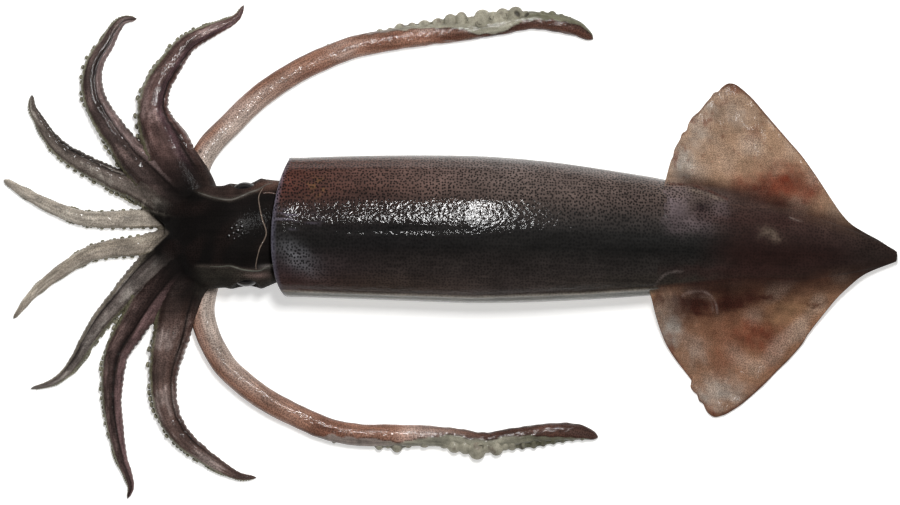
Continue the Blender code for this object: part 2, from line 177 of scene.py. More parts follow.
def makeSkin(name, dotSpacing, streak, bump, stretch, wrinkleSize, roughness, slime, slimeRoughness):
    # colour = stored tone x fibre streaks x blotches x (paler ground or darker dot); the bump is noise plus cells
    material = bpy.data.materials.new(name)
    material.use_nodes = True
    tree = material.node_tree
    shader = tree.nodes["Principled BSDF"]
    place = addNode(tree, "ShaderNodeTexCoord")
    tone = addNode(tree, "ShaderNodeAttribute", {"attribute_name": "skinTone"})
    spotted = addNode(tree, "ShaderNodeAttribute", {"attribute_name": "spotted"})
    flat = addNode(tree, "ShaderNodeAttribute", {"attribute_name": "laidFlat"})
    wander = addNode(tree, "ShaderNodeTexNoise", {}, {"Vector": (place, "Object"), "Scale": 160.0, "Detail": 2.0})
    drift = addNode(tree, "ShaderNodeVectorMath", {"operation": "SCALE"}, {0: (wander, "Color"), "Scale": 0.0012})
    moved = addNode(tree, "ShaderNodeVectorMath", {"operation": "ADD"}, {0: (place, "Object"), 1: (drift, 0)})
    big = addNode(tree, "ShaderNodeTexVoronoi", {"feature": "F1", "voronoi_dimensions": "2D"},
                  {"Vector": (flat, "Vector"), "Scale": 1 / dotSpacing, "Randomness": 0.72})
    small = addNode(tree, "ShaderNodeTexVoronoi", {"feature": "F1", "voronoi_dimensions": "2D"},
                    {"Vector": (flat, "Vector"), "Scale": 2.1 / dotSpacing, "Randomness": 1.0})
    bigDot = addNode(tree, "ShaderNodeMapRange", {"interpolation_type": "SMOOTHSTEP"},
                     {"Value": (big, "Distance"), "From Min": 0.41, "From Max": 0.25, "To Min": 0.0, "To Max": 1.0})
    smallDot = addNode(tree, "ShaderNodeMapRange", {"interpolation_type": "SMOOTHSTEP"},
                       {"Value": (small, "Distance"), "From Min": 0.42, "From Max": 0.15, "To Min": 0.0, "To Max": 1.0})
    bigPart = addNode(tree, "ShaderNodeMath", {"operation": "MULTIPLY"}, {0: (bigDot, 0), 1: (spotted, "Fac")})
    speckled = addNode(tree, "ShaderNodeSeparateXYZ", {}, {"Vector": (flat, "Vector")})
    speckGain = addNode(tree, "ShaderNodeMath", {"operation": "MULTIPLY_ADD"},
                        {0: (spotted, "Fac"), 1: skinLook["smallDots"], 2: (speckled, "Z")})
    speckPart = addNode(tree, "ShaderNodeMath", {"operation": "MULTIPLY"}, {0: (smallDot, 0), 1: (speckGain, 0)})
    dotPart = addNode(tree, "ShaderNodeMath", {"operation": "MAXIMUM"}, {0: (bigPart, 0), 1: (speckPart, 0)})
    ground = addNode(tree, "ShaderNodeMath", {"operation": "MULTIPLY_ADD"},
                     {0: (spotted, "Fac"), 1: skinLook["groundLift"], 2: 1.0})
    lifted = addNode(tree, "ShaderNodeMath", {"operation": "MULTIPLY_ADD"},
                     {0: (speckled, "Z"), 1: skinLook["speckLift"], 2: (ground, 0)})
    contrast = -(skinLook["groundLift"] + skinLook["dotDrop"])
    dotted = addNode(tree, "ShaderNodeMath", {"operation": "MULTIPLY_ADD"}, {0: (dotPart, 0), 1: contrast,
                                                                            2: (lifted, 0)})
    # long streaks of muscle fibre along the body, and soft blotches
    stretched = addNode(tree, "ShaderNodeMapping", {}, {"Vector": (flat, "Vector"), "Scale": (0.06, 0.62, 0.0)})
    fibre = addNode(tree, "ShaderNodeTexNoise", {}, {"Vector": (stretched, 0), "Scale": 1.0, "Detail": 4.0})
    blotch = addNode(tree, "ShaderNodeTexNoise", {}, {"Vector": (place, "Object"), "Scale": 130.0, "Detail": 5.0,
                                                     "Roughness": 0.6})
    fibreGain = addNode(tree, "ShaderNodeMapRange", {}, {"Value": (fibre, "Fac"), "From Min": 0.3, "From Max": 0.7,
                                                         "To Min": 1 - streak, "To Max": 1 + streak})
    blotchGain = addNode(tree, "ShaderNodeMapRange", {}, {"Value": (blotch, "Fac"), "From Min": 0.3, "From Max": 0.7,
                                                          "To Min": 0.76, "To Max": 1.26})
    gain = addNode(tree, "ShaderNodeMath", {"operation": "MULTIPLY"}, {0: (fibreGain, 0), 1: (blotchGain, 0)})
    allGain = addNode(tree, "ShaderNodeMath", {"operation": "MULTIPLY"}, {0: (gain, 0), 1: (dotted, 0)})
    final = addNode(tree, "ShaderNodeVectorMath", {"operation": "SCALE"}, {0: (tone, "Color"), "Scale": (allGain, 0)})
    tree.links.new(final.outputs[0], shader.inputs["Base Color"])
    # wrinkles and low swellings under the slime, longer along the body where stretch is below one
    laid = addNode(tree, "ShaderNodeMapping", {}, {"Vector": (moved, 0), "Scale": (stretch, 1.0, 1.0)})
    wrinkle = addNode(tree, "ShaderNodeTexNoise", {}, {"Vector": (laid, 0), "Detail": 3.0, "Roughness": 0.55,
                                                      "Scale": 500 / wrinkleSize})
    swell = addNode(tree, "ShaderNodeTexVoronoi", {"feature": "SMOOTH_F1"},
                    {"Vector": (laid, 0), "Scale": 450 / wrinkleSize})
    height = addNode(tree, "ShaderNodeMath", {"operation": "MULTIPLY_ADD"}, {0: (swell, "Distance"), 1: 0.5,
                                                                           2: (wrinkle, "Fac")})
    relief = addNode(tree, "ShaderNodeBump", {}, {"Height": (height, 0), "Strength": bump, "Distance": 1.3 * wrinkleSize * mm})
    tree.links.new(relief.outputs[0], shader.inputs["Normal"])
    tree.links.new(relief.outputs[0], shader.inputs["Coat Normal"])
    shader.inputs["Roughness"].default_value = roughness
    shader.inputs["IOR"].default_value = 1.34
    shader.inputs["Specular IOR Level"].default_value = 0.12
    shader.inputs["Coat Weight"].default_value = slime
    shader.inputs["Coat Roughness"].default_value = slimeRoughness
    shader.inputs["Coat IOR"].default_value = 1.33
    return material


# pigment sacs: 1.35 mm apart on the mantle, about 1 mm on the head and limbs; wrinkles about half a millimetre across
wetSkin = makeSkin("wetSpottedSkin", 1.35, 0.24, 0.2, 0.7, 0.6, 0.55, 0.9, 0.05)
headSkin = makeSkin("wetHeadSkin", 1.0, 0.2, 0.2, 1.0, 0.5, 0.7, 0.05, 0.1)
wetLimb = makeSkin("wetLimbSkin", 0.95, 0.36, 0.3, 0.7, 0.6, 0.5, 0.6, 0.07)
finSkin = makeSkin("thinFinSkin", 1.35, 0.1, 0.16, 1.0, 0.6, 0.55, 0.18, 0.1)
suckerFlesh = makeSkin("suckerFlesh", 1.0, 0.04, 0.12, 1.0, 0.7, 0.45, 0.3, 0.08)
waterGloss = makeSkin("waterOnSkin", 1.0, 0.0, 0.0, 1.0, 0.9, 0.2, 1.0, 0.03)
eyeGloss = makeSkin("wetEye", 1.0, 0.0, 0.0, 1.0, 0.9, 0.3, 0.35, 0.03)
print("materials ready")


# mantle
mantle = {
    "front": -73.0, "tail": 203.0, "widest": 8.0,
    "halfWidth": 33.6, "frontHalfWidth": 31.6, "tailHalfWidth": 2.2,
    "height": 41.5, "frontHeight": 39.0, "tailHeight": 4.0,
    "frontY": 11.4, "tailY": -1.6,
    "wall": 2.6, "backLobe": 7.5, "bellyNotch": 4.0, "roll": np.radians(12),
    "pocketEnd": -61.0,
    "rows": 300, "sides": 220,
    # colours over the back, from the right flank (10 degrees) over the top (90) to the left flank (147)
    "angles": [5, 30, 55, 75, 90, 104, 125, 147],
    "stations": [-72, -30, 25, 85],
    "bands": [["#43312b", "#442821", "#42251f", "#2a1e1b", "#171413", "#171514", "#32282a", "#3a2622"],
              ["#51413a", "#4e3b36", "#48342e", "#241b19", "#151313", "#141212", "#2c2523", "#3c3029"],
              ["#5b5350", "#594e4a", "#514540", "#2c2623", "#1a1817", "#161413", "#2e2826", "#3a312e"],
              ["#5a4f4b", "#534742", "#473c38", "#2f2a28", "#1c1b1a", "#151413", "#292523", "#332d27"]],
    # the strip colour: the underside's own olive skin below the cream line, darkened by painted shade along the lower
    # edge
    "creamLine": "#8f877b", "shadedStrip": "#49463b", "belly": "#8a8172", "lip": "#5d5a68", "patch": "#58585b",
}


def mantleHalfWidth(x):
    # slightly narrower in front, widest at one place, then a rounded taper to the tail
    forward = np.clip((mantle["widest"] - x) / (mantle["widest"] - mantle["front"]), 0, 2)
    back = np.clip((x - mantle["widest"]) / (mantle["tail"] - mantle["widest"]), 0, 1)
    front = mantle["halfWidth"] - (mantle["halfWidth"] - mantle["frontHalfWidth"]) * forward ** 1.6
    rear = mantle["tailHalfWidth"] + (mantle["halfWidth"] - mantle["tailHalfWidth"]) * (1 - back ** 1.6) ** 0.8
    return np.where(x < mantle["widest"], front, rear)


def mantleHeight(x):
    forward = np.clip((mantle["widest"] - x) / (mantle["widest"] - mantle["front"]), 0, 2)
    back = np.clip((x - mantle["widest"]) / (mantle["tail"] - mantle["widest"]), 0, 1)
    front = mantle["height"] - (mantle["height"] - mantle["frontHeight"]) * forward
    rear = mantle["tailHeight"] + (mantle["height"] - mantle["tailHeight"]) * (1 - back ** 1.5) ** 0.9
    return np.where(x < mantle["widest"], front, rear)


def mantleMiddle(x):
    back = np.clip((x - mantle["front"]) / (mantle["tail"] - mantle["front"]), 0, 2)
    return mantle["frontY"] - (mantle["frontY"] - mantle["tailY"]) * back ** 2.2


def mantleOval(x, angle, inset):
    # an oval whose widest line is low: 0.56 of the height above it, 0.44 below, and flat where it meets the table
    height = mantleHeight(x)
    rise = np.where(np.sin(angle) > 0, 0.56, 0.47) * height
    y = mantleMiddle(x) + (mantleHalfWidth(x) - inset) * np.cos(angle)
    z = 0.44 * height + (rise - inset) * np.sin(angle)
    return np.stack([x + 0 * angle, y, np.maximum(z, 0.05 + 0.35 * inset)], axis=-1)


def mantleRim(angle):
    # a lobe forward over the neck and a shallow notch back under the funnel
    fromBack = np.cos(angle - pi / 2 - mantle["roll"])
    lobe = mantle["front"] - mantle["backLobe"] * np.clip(fromBack, 0, 1) ** 1.3
    notch = mantle["front"] + mantle["bellyNotch"] * fromBack ** 2
    return np.where(fromBack > 0, lobe, notch)


def creamLineY(x):
    return np.interp(x, [-80, -40, 10, 60, 90, 130], [-17.2, -18.6, -20.2, -18.6, -16.6, -12])


def frontSheen(x, y):
    # a slanting oval just behind the rim, left of the middle
    return hump(np.hypot((x + 69.5 + 0.75 * (y + 1)) / 6.5, (y + 2) / 7), 1.0)


def mantleTone(x, y, angle):
    # bands of colour over the back, blended along the body, then the pale underside, the strip below the cream line
    # with its painted shade, and the cream line itself
    turn = np.degrees(angle) % 360
    rows = np.stack([np.stack([np.interp(turn, mantle["angles"], [toLinear(c)[k] for c in band])
                               for k in range(3)], axis=-1) for band in mantle["bands"]])
    spot = np.interp(x, mantle["stations"], np.arange(len(mantle["stations"])))
    low = np.minimum(spot.astype(int), len(mantle["stations"]) - 2)
    part = (spot - low)[..., None]
    pick = np.take_along_axis
    lower = pick(rows, low[None, ..., None], 0)[0]
    upper = pick(rows, low[None, ..., None] + 1, 0)[0]
    tone = lower + (upper - lower) * part
    places = np.stack([x, y, 8 * np.sin(angle)], axis=-1)
    # a pale blue-grey sheen behind the rim, left of the middle
    sheen = frontSheen(x, y) * (np.sin(angle) > 0)
    tone = mixed(tone, toLinear(mantle["patch"]), np.clip(0.85 * sheen * (0.8 + 0.3 * softNoise(places, 5, 5)), 0, 1))
    threads = softNoise(np.stack([x * 0.16, y + 0.06 * x], axis=-1), 2.1, 6) * hump(y - 15.5, 4.5) * hump(x + 70, 22)
    tone = mixed(tone, toLinear("#6a6470"), np.clip(threads - 0.15, 0, 0.6) * (np.sin(angle) > 0))
    amber = hump(np.hypot((x + 60) / 7, (y - 30) / 4.5), 1.0) * smoothStep(softNoise(places, 2.4, 4), 0.1, 0.8)
    tone = mixed(tone, toLinear("#7a5a34"), 0.45 * amber * (np.sin(angle) > 0))
    # broad uneven tints
    tone = tone * (1 + 0.10 * softNoise(places * [0.4, 1, 1], 14, 1))[..., None]
    below = smoothStep(turn, 180, 215) * (1 - smoothStep(turn, 325, 356))
    # painted shade: below the cream line the skin takes the dark olive strip tone, partly its own colour, partly the
    # shade along the lower edge
    stripShade = smoothStep(creamLineY(x) - y, -0.2, 0.5) * (turn > 95) * (turn < 262)
    tone = mixed(tone, toLinear(mantle["shadedStrip"]), stripShade * 0.9)
    tone = mixed(tone, toLinear(mantle["belly"]), below)
    line = hump(y - creamLineY(x), 0.45) * (turn > 95) * (turn < 200) * smoothStep(x, 96, 80)
    return mixed(tone, toLinear(mantle["creamLine"]), line * 0.9)


def mantleDots(x, y, angle):
    turn = np.degrees(angle) % 360
    over = np.interp(turn, [0, 8, 60, 78, 95, 135, 150, 180, 215, 325, 352, 360],
                     [0.75, 1, 1, 0.75, 0.4, 0.35, 0.3, 0.12, 0.2, 0.25, 0.6, 0.75])
    over = over + 0.8 * frontSheen(x, y) * (np.sin(angle) > 0)
    return np.clip(over * (0.85 + 0.15 * softNoise(np.stack([x, y], axis=-1), 20, 3)), 0, 1.2)


def makeMantle():
    # outside from lip to tail, then the rounded lip and the inner wall back into the pocket: one closed skin
    angle = np.linspace(-0.5 * pi, 1.5 * pi, mantle["sides"], endpoint=False)[None, :]
    rim = mantleRim(angle)
    inner = np.linspace(0, 1, 14)[:-1, None]
    innerX = mantle["pocketEnd"] + (rim + 0.9 - mantle["pocketEnd"]) * inner
    innerInset = mantle["wall"] * (1 + 2.6 * (1 - inner) ** 6)
    lipTurn = np.linspace(0, 1, 9)[:, None]
    lipX = rim + 0.9 - 0.9 * np.sin(pi * lipTurn)
    lipInset = mantle["wall"] * 0.5 * (1 + np.cos(pi * lipTurn))
    share = (np.linspace(0, 1, mantle["rows"])[1:, None]) ** 0.9
    outX = (rim + 0.9) * (1 - share) + mantle["tail"] * share
    x = np.concatenate([innerX, lipX, outX])
    inset = np.concatenate([innerInset + 0 * angle, lipInset + 0 * angle, 0 * outX])
    turn = angle + 0 * x
    grid = mantleOval(x, turn, inset)
    # soft long furrows and a faint ridge where the cream line runs
    outside = smoothStep(x, mantle["front"] - 2, mantle["front"] + 8) * (inset < 0.01)
    furrow = 0.16 * softNoise(np.stack([grid[..., 0] * 0.12, grid[..., 1], grid[..., 2]], axis=-1), 9, 7)
    furrow += 0.02 * softNoise(grid, 5, 8)
    ridge = 0.35 * hump(grid[..., 1] - creamLineY(grid[..., 0]), 0.7) * (turn > 1.7) * (turn < 3.4)
    # one shallow crease along the back, which splits the light on it
    ridge = ridge - 0.32 * hump(grid[..., 1] - 9.9, 1.5) * hump(x + 24, 30) * (np.sin(turn) > 0)
    push = (furrow - 0.25 + ridge) * outside
    grid[..., 1] += push * np.cos(turn)
    grid[..., 2] += push * np.sin(turn) * (grid[..., 2] > 2)
    points, faces = gridSkin(grid)
    tone = mantleTone(grid[..., 0], grid[..., 1], turn)
    dots = mantleDots(grid[..., 0], grid[..., 1], turn)
    inPocket = smoothStep(inset, 0.2, 1.4)
    tone = mixed(tone, toLinear("#4a4340"), inPocket)
    fromRim = grid[..., 0] - rim
    upper = np.sin(turn) > -0.1
    tone = mixed(tone, toLinear(mantle["lip"]), 0.65 * hump(fromRim - 0.3, 0.9) * upper * (inset < 1.6))
    radius = 0.5 * (mantleHalfWidth(x) + 0.5 * mantleHeight(x))
    laid = np.stack([x - inset * 3, (turn - 0.5 * pi) * radius], axis=-1)
    piece = newPiece("mantle", points * mm, faces, "squid", wetSkin)
    paint(piece, capped(tone), capped(dots * (1 - inPocket)), capped(laid))
    return piece


makeMantle()
print("mantle done")


# fins
fins = {
    "rightEdge": [(97, 31.5), (98, 35), (99.8, 41.2), (101, 43.6), (101.7, 46.8), (104.3, 51.4), (105.2, 53.9),
              (107.4, 55.6), (108.2, 58.4), (110.2, 61.6), (113.4, 64.4), (116.3, 68.1), (118.2, 70.2),
              (119.9, 72.6), (121.8, 73.2), (123.6, 75.1), (126.3, 76.8), (129.6, 76.4), (133.5, 73.6),
              (138, 69.4), (142.4, 64.2), (148.4, 57.2), (154, 50.7), (159.6, 44.2), (165.3, 36.2), (169.5, 29.8),
              (173.6, 23.4), (177.8, 17.4), (182.2, 12.8), (188.5, 8.9), (195, 5.4), (202.8, 0.2)],
    "leftEdge": [(90, -17.8), (91.3, -22), (92.6, -27), (94.3, -32.4), (96, -37), (97.6, -40.8), (100, -45),
             (102.7, -49), (105.8, -53), (109.2, -57.4), (110, -59), (109.2, -60.8), (110.6, -63.2),
             (112.2, -64.6), (113.2, -67.4), (115, -68.8), (116, -71), (117.4, -73.1), (120.2, -74.8),
             (124, -74), (127, -72.6), (132.5, -69), (138.2, -64.2), (143.5, -59.2), (148.6, -54), (154, -48.6),
             (159.6, -42.2), (163.2, -36.4), (170.5, -27), (175.6, -20.8), (181, -15.6), (186, -11.4),
             (191.4, -8.4), (202.6, -4.2)],
    "axis": (90.0, 203.0), "rootHeight": 0.6, "thickness": 3.4, "edge": 1.1, "drape": 38.0, "lift": 0.25,
    "fillet": 5.5, "rows": 236, "columns": 96,
    "rightTone": "#9d7f67", "leftTone": "#8d6951", "pale": "#ac9888", "edgeTone": "#5d3b2d", "dark": "#2d1713",
    "tailTone": "#29201d",
    # soft patches: x, y, half length, half width, strength
    "patches": {
        "#a39b92": [(105, 40, 6, 8, 0.8), (113, 54, 5, 7, 0.5), (118, 66, 5, 5, 0.5), (100.5, -34, 5.5, 8, 0.95),
                    (111, -46, 4, 6, 0.4), (124, -64, 10, 6, 0.7), (116, -66, 3, 4, 0.6), (131, 62, 7, 6, 0.35)],
        "#6b3424": [(152, 32, 10, 8, 0.95), (146, 29, 20, 8, 0.45), (128, -36, 20, 11, 0.35), (143, 28.5, 12, 4.5, 0.75), (163, 27, 7, 6, 0.7), (129.5, 75, 4.5, 2.6, 0.6),
                    (110.4, 59.6, 1.7, 1.5, 0.7), (116.6, 59.8, 1.9, 1.4, 0.6), (101.3, 44, 1.6, 2.4, 0.6),
                    (107.8, 47.6, 0.8, 1.4, 0.6), (138, 54, 3, 3, 0.35), (132, 31, 5, 4, 0.4), (98.6, -44, 1.2, 5, 0.7),
                    (105, -53.4, 1.8, 3.4, 0.7), (119.2, -72.6, 3, 2, 0.8), (139, -37, 12, 6.5, 0.75),
                    (124, -50, 8, 6, 0.4), (147, -47, 6, 8, 0.3), (140, -62, 4, 3, 0.3), (124, 69, 3, 2, 0.3)],
        "#44251c": [(111, -24.6, 9.5, 6, 1.1), (126, -23, 14, 5, 1.15), (141, -20.5, 10, 2.6, 1.0),
                    (165, -22.6, 6, 1.3, 0.75), (94, -20, 2.5, 4, 0.8), (124.3, 27.6, 1.1, 2.6, 0.7),
                    (140, 23.5, 16, 2.2, 0.6)],
        "#6c584e": [(101.6, -22.2, 4.6, 4, 0.8)],
        "#8a6a4c": [(156, -25, 9, 4, 0.5), (148, -31, 6, 3, 0.4)],
    },
    "bodyPatches": {
        "#6a5e61": [(101.3, 20.5, 5.6, 7.4, 0.8), (111, 13.4, 8, 4, 0.5), (121, 20, 5, 4, 0.35)],
        "#292122": [(113.6, 19.6, 3.8, 3.4, 0.9)],
        "#63554a": [(143.6, 9.8, 3.6, 2.4, 0.8), (146.4, 7, 2.6, 2.6, 0.7)],
        "#33201d": [(122, 15.5, 16, 4, 0.5), (128, -8.6, 30, 3, 0.6), (150, 14, 14, 4, 0.6)],
    },
    # soft seams: route, half width, colour, strength
    "seams": [
        ([(91, -16.4), (95.2, -11.2), (99.3, -9), (104.6, -8.4)], 0.5, "#776c68", 0.5),
        ([(105, -19.7), (107.6, -18.1), (113.8, -17.6), (118, -19.7), (120.3, -23.3), (121.1, -27.5)], 0.5, "#85716a", 0.6),
        ([(112.8, -19.8), (116.6, -20.2), (118.6, -23.4), (119, -26.4)], 0.45, "#7a655d", 0.4),
        ([(99.2, 30.9), (108.6, 30.4), (117, 27.8), (125.3, 24.1)], 0.6, "#4d2f27", 0.7),
        ([(107.6, 28.6), (116, 26.2), (123.4, 23.4)], 0.7, "#7b6c61", 0.6),
        ([(127, 21), (140, 20.5), (152, 20.8), (161, 19.6)], 0.4, "#6a4c42", 0.3),
        ([(153.5, 15.8), (157, 14.6), (159.4, 14.2)], 0.35, "#85756d", 0.5),
        ([(96.4, 24.6), (97.4, 17), (101.4, 12.8), (107, 12.6)], 0.4, "#453a3c", 0.5),
    ],
}


def lineShare(x, y, route, width):
    # 1 on the route and falling away over the width on both sides of it
    fine = smoothPath(route, 70)
    gap = np.full(x.shape, 1e9)
    for px, py in fine:
        gap = np.minimum(gap, (x - px) ** 2 + (y - py) ** 2)
    return np.exp(-gap / width ** 2)


def backHeight(x, y):
    # height of the mantle's back, carried on steeply past its flank
    q = (y - mantleMiddle(x)) / mantleHalfWidth(x)
    arch = 0.44 + 0.56 * np.sqrt(np.clip(1 - q ** 2, 0, 1))
    return mantleHeight(x) * arch - 2.5 * np.clip(np.abs(q) - 1, 0, None) * mantleHalfWidth(x)


def makeFins():
    # a sheet across both fins: where it meets the mantle's back, a smooth maximum of the two heights makes a fillet
    right = smoothPath(fins["rightEdge"], fins["rows"])
    left = smoothPath(fins["leftEdge"], fins["rows"])
    axisX = np.linspace(*fins["axis"], fins["rows"])
    middle = np.stack([axisX, mantleMiddle(axisX)], axis=-1)
    across = np.linspace(-1, 1, 2 * fins["columns"] + 1)
    across = np.sign(across) * (1 - (1 - np.abs(across)) ** 1.25)
    share = np.abs(across)[None, :, None]
    edge = np.where(across[None, :, None] > 0, right[:, None, :], left[:, None, :])
    plan = middle[:, None, :] * (1 - share) + edge * share
    x, y = plan[..., 0], plan[..., 1]
    reach = np.abs(across)[None, :] + 0 * x
    off = np.abs(y - mantleMiddle(x)) - mantleHalfWidth(x)
    rest = 0.5 * fins["edge"] + fins["lift"]
    rootZ = fins["rootHeight"] * mantleHeight(x)
    sheet = rest + (rootZ - rest) * np.clip(1 - np.clip(off, 0, None) / fins["drape"], 0, 1) ** 1.7
    # the free edge ripples a little, as a thin wet sheet does where it meets the table
    places = np.stack([x, y], axis=-1)
    ripple = 0.55 * softNoise(places, 17, 21) + 0.2 * softNoise(places, 7, 22)
    sheet = sheet + np.clip(ripple + 0.35, 0, None) * smoothStep(off, 4, 24)
    thick = fins["edge"] + (fins["thickness"] - fins["edge"]) * (1 - smoothStep(off, -6, 26))
    bevel = np.sqrt(np.clip(1 - np.clip((reach - 0.975) / 0.025, 0, 1) ** 2, 0, 1))
    back = backHeight(x, y)
    top = sheet + 0.5 * thick
    near = np.clip(fins["fillet"] - np.abs(top - back), 0, None) ** 2 / (4 * fins["fillet"])
    raised = np.maximum(top, back) + near * smoothStep(x, 88, 104)
    # over the body the sheet runs just above the mantle, and it dips under the mantle's skin along its front border
    row = np.linspace(0, 1, len(x))[:, None]
    overBody = smoothStep(back - top, 0, 2)
    raised = raised + overBody * (0.1 - 0.6 * (1 - smoothStep(row, 0.0, 0.1)))
    seams = [lineShare(x, y, route, width) for route, width, colour, strength in fins["seams"]]
    raised = raised + 0.12 * sum(seams)
    fibres = 0.05 * softNoise(np.stack([x * 1.0, y * 0.18], axis=-1), 1.9, 23)
    top = sheet + (raised - sheet) * bevel + fibres * smoothStep(off, 2, 10) * bevel
    under = np.maximum(sheet - 0.5 * thick * bevel, np.minimum(0.12, sheet - 0.05))
    under = np.where(off < 0, np.minimum(under, top - 1.5), under)
    rows, columns = x.shape
    topGrid = np.stack([x, y, top], axis=-1)
    underGrid = np.stack([x, y, np.maximum(under, 0.05)], axis=-1)
    loop = np.concatenate([topGrid, underGrid[:, -2:0:-1]], axis=1)
    points, faces = gridSkin(loop)
    angle = np.arccos(np.clip((y - mantleMiddle(x)) / mantleHalfWidth(x), -1, 1))
    body = mantleTone(x, y, angle)
    noiseWide, noiseFine = softNoise(places, 22, 31), softNoise(places, 5, 32)
    onRight = (y > mantleMiddle(x))[..., None]
    skin = np.where(onRight, toLinear(fins["rightTone"]), toLinear(fins["leftTone"]))
    skin = mixed(skin, toLinear(fins["pale"]), 0.6 * smoothStep(noiseWide, -0.2, 0.9))
    # every patch's outline wanders by a few millimetres
    warpX = x + 1.6 * softNoise(places, 9, 36) + 0.8 * softNoise(places, 3.4, 37)
    warpY = y + 1.6 * softNoise(places, 9, 38) + 0.8 * softNoise(places, 3.4, 39)

    def patched(tone, patches):
        for colour, spots in patches.items():
            for sx, sy, rx, ry, strength in spots:
                spot = hump(np.hypot((warpX - sx) / rx, (warpY - sy) / ry), 1.0) * (1 + 0.15 * noiseFine)
                tone = mixed(tone, toLinear(colour), np.clip(strength * spot, 0, 1))
        return tone

    skin = patched(skin, fins["patches"])
    rng = np.random.default_rng(35)
    for sx, sy, size in zip(rng.uniform(102, 150, 46), rng.uniform(33, 70, 46), rng.uniform(0.35, 0.75, 46)):
        skin = mixed(skin, toLinear("#6f4433"), 0.55 * hump(np.hypot(x - sx, y - sy), size))
    rootWide = np.where(y > mantleMiddle(x), 5.5, 8.0)
    rootward = hump(np.clip(off + 1.6 * softNoise(places * [0.5, 1], 14, 41), 0, None), rootWide)
    skin = mixed(skin, toLinear(fins["dark"]), 0.85 * rootward * smoothStep(x, 92, 112))
    skin = skin * (1 + 0.07 * noiseFine + 0.05 * softNoise(places * [1, 0.3], 2.2, 40))[..., None]
    edgeShade = smoothStep(reach, 0.965, 0.995) * np.where(x > 125, 0.85, 0.35 + 0.4 * (noiseFine > 0.2))
    skin = mixed(skin, toLinear(fins["edgeTone"]), edgeShade)
    behindLine = smoothStep(creamLineY(x) - y, -2, 0) * smoothStep(x, 90, 96)
    dark = mixed(body, toLinear(fins["dark"]), np.maximum(0.6 * smoothStep(x, 108, 135), 0.9 * behindLine))
    border = 2.2 * softNoise(places * [0.35, 1.0], 16, 34)
    onBody = 1 - smoothStep(off, -5 + border, 2.5 + border)
    tone = mixed(skin, dark, onBody)
    tone = patched(tone, fins["bodyPatches"])
    for share, (route, width, colour, strength) in zip(seams, fins["seams"]):
        tone = mixed(tone, toLinear(colour), np.clip(strength * share * (0.8 + 0.5 * noiseFine), 0, 1))
    tipward = smoothStep(x, 168, 192)
    tone = mixed(tone, toLinear(fins["tailTone"]), 0.85 * tipward)
    finDots = 0.06 + 0.12 * smoothStep(noiseWide, -0.6, 0.6)
    bodyDots = mantleDots(x, y, angle)
    scarred = hump(np.hypot((warpX - 104) / 8, (warpY - 19) / 7.4), 1.0)
    dots = finDots + (bodyDots * (1 - 0.8 * scarred) - finDots) * onBody * (1 - 0.75 * smoothStep(x, 104, 132))
    steps = np.linalg.norm(np.diff(topGrid, axis=1), axis=2)
    run = np.concatenate([np.zeros((rows, 1)), np.cumsum(steps, axis=1)], axis=1)
    laid = np.stack([x, run[:, columns // 2, None] - run], axis=-1) * [1, -1]
    allLaid = np.concatenate([laid, laid[:, -2:0:-1] + [0, 0.4]], axis=1)
    allTone = np.concatenate([tone, mixed(tone, toLinear(fins["pale"]), 0.5 + 0 * reach)[:, -2:0:-1]], axis=1)
    allDots = np.concatenate([dots, dots[:, -2:0:-1]], axis=1)
    piece = newPiece("fins", points * mm, faces, "squid", finSkin)
    specks = (0.34 + 0.1 * noiseWide) * (1 - onBody) * (1 - tipward)
    allSpecks = np.concatenate([specks, specks[:, -2:0:-1]], axis=1)
    paint(piece, capped(allTone), capped(allDots), capped(allLaid), capped(allSpecks))
    return piece


makeFins()
print("fins done")


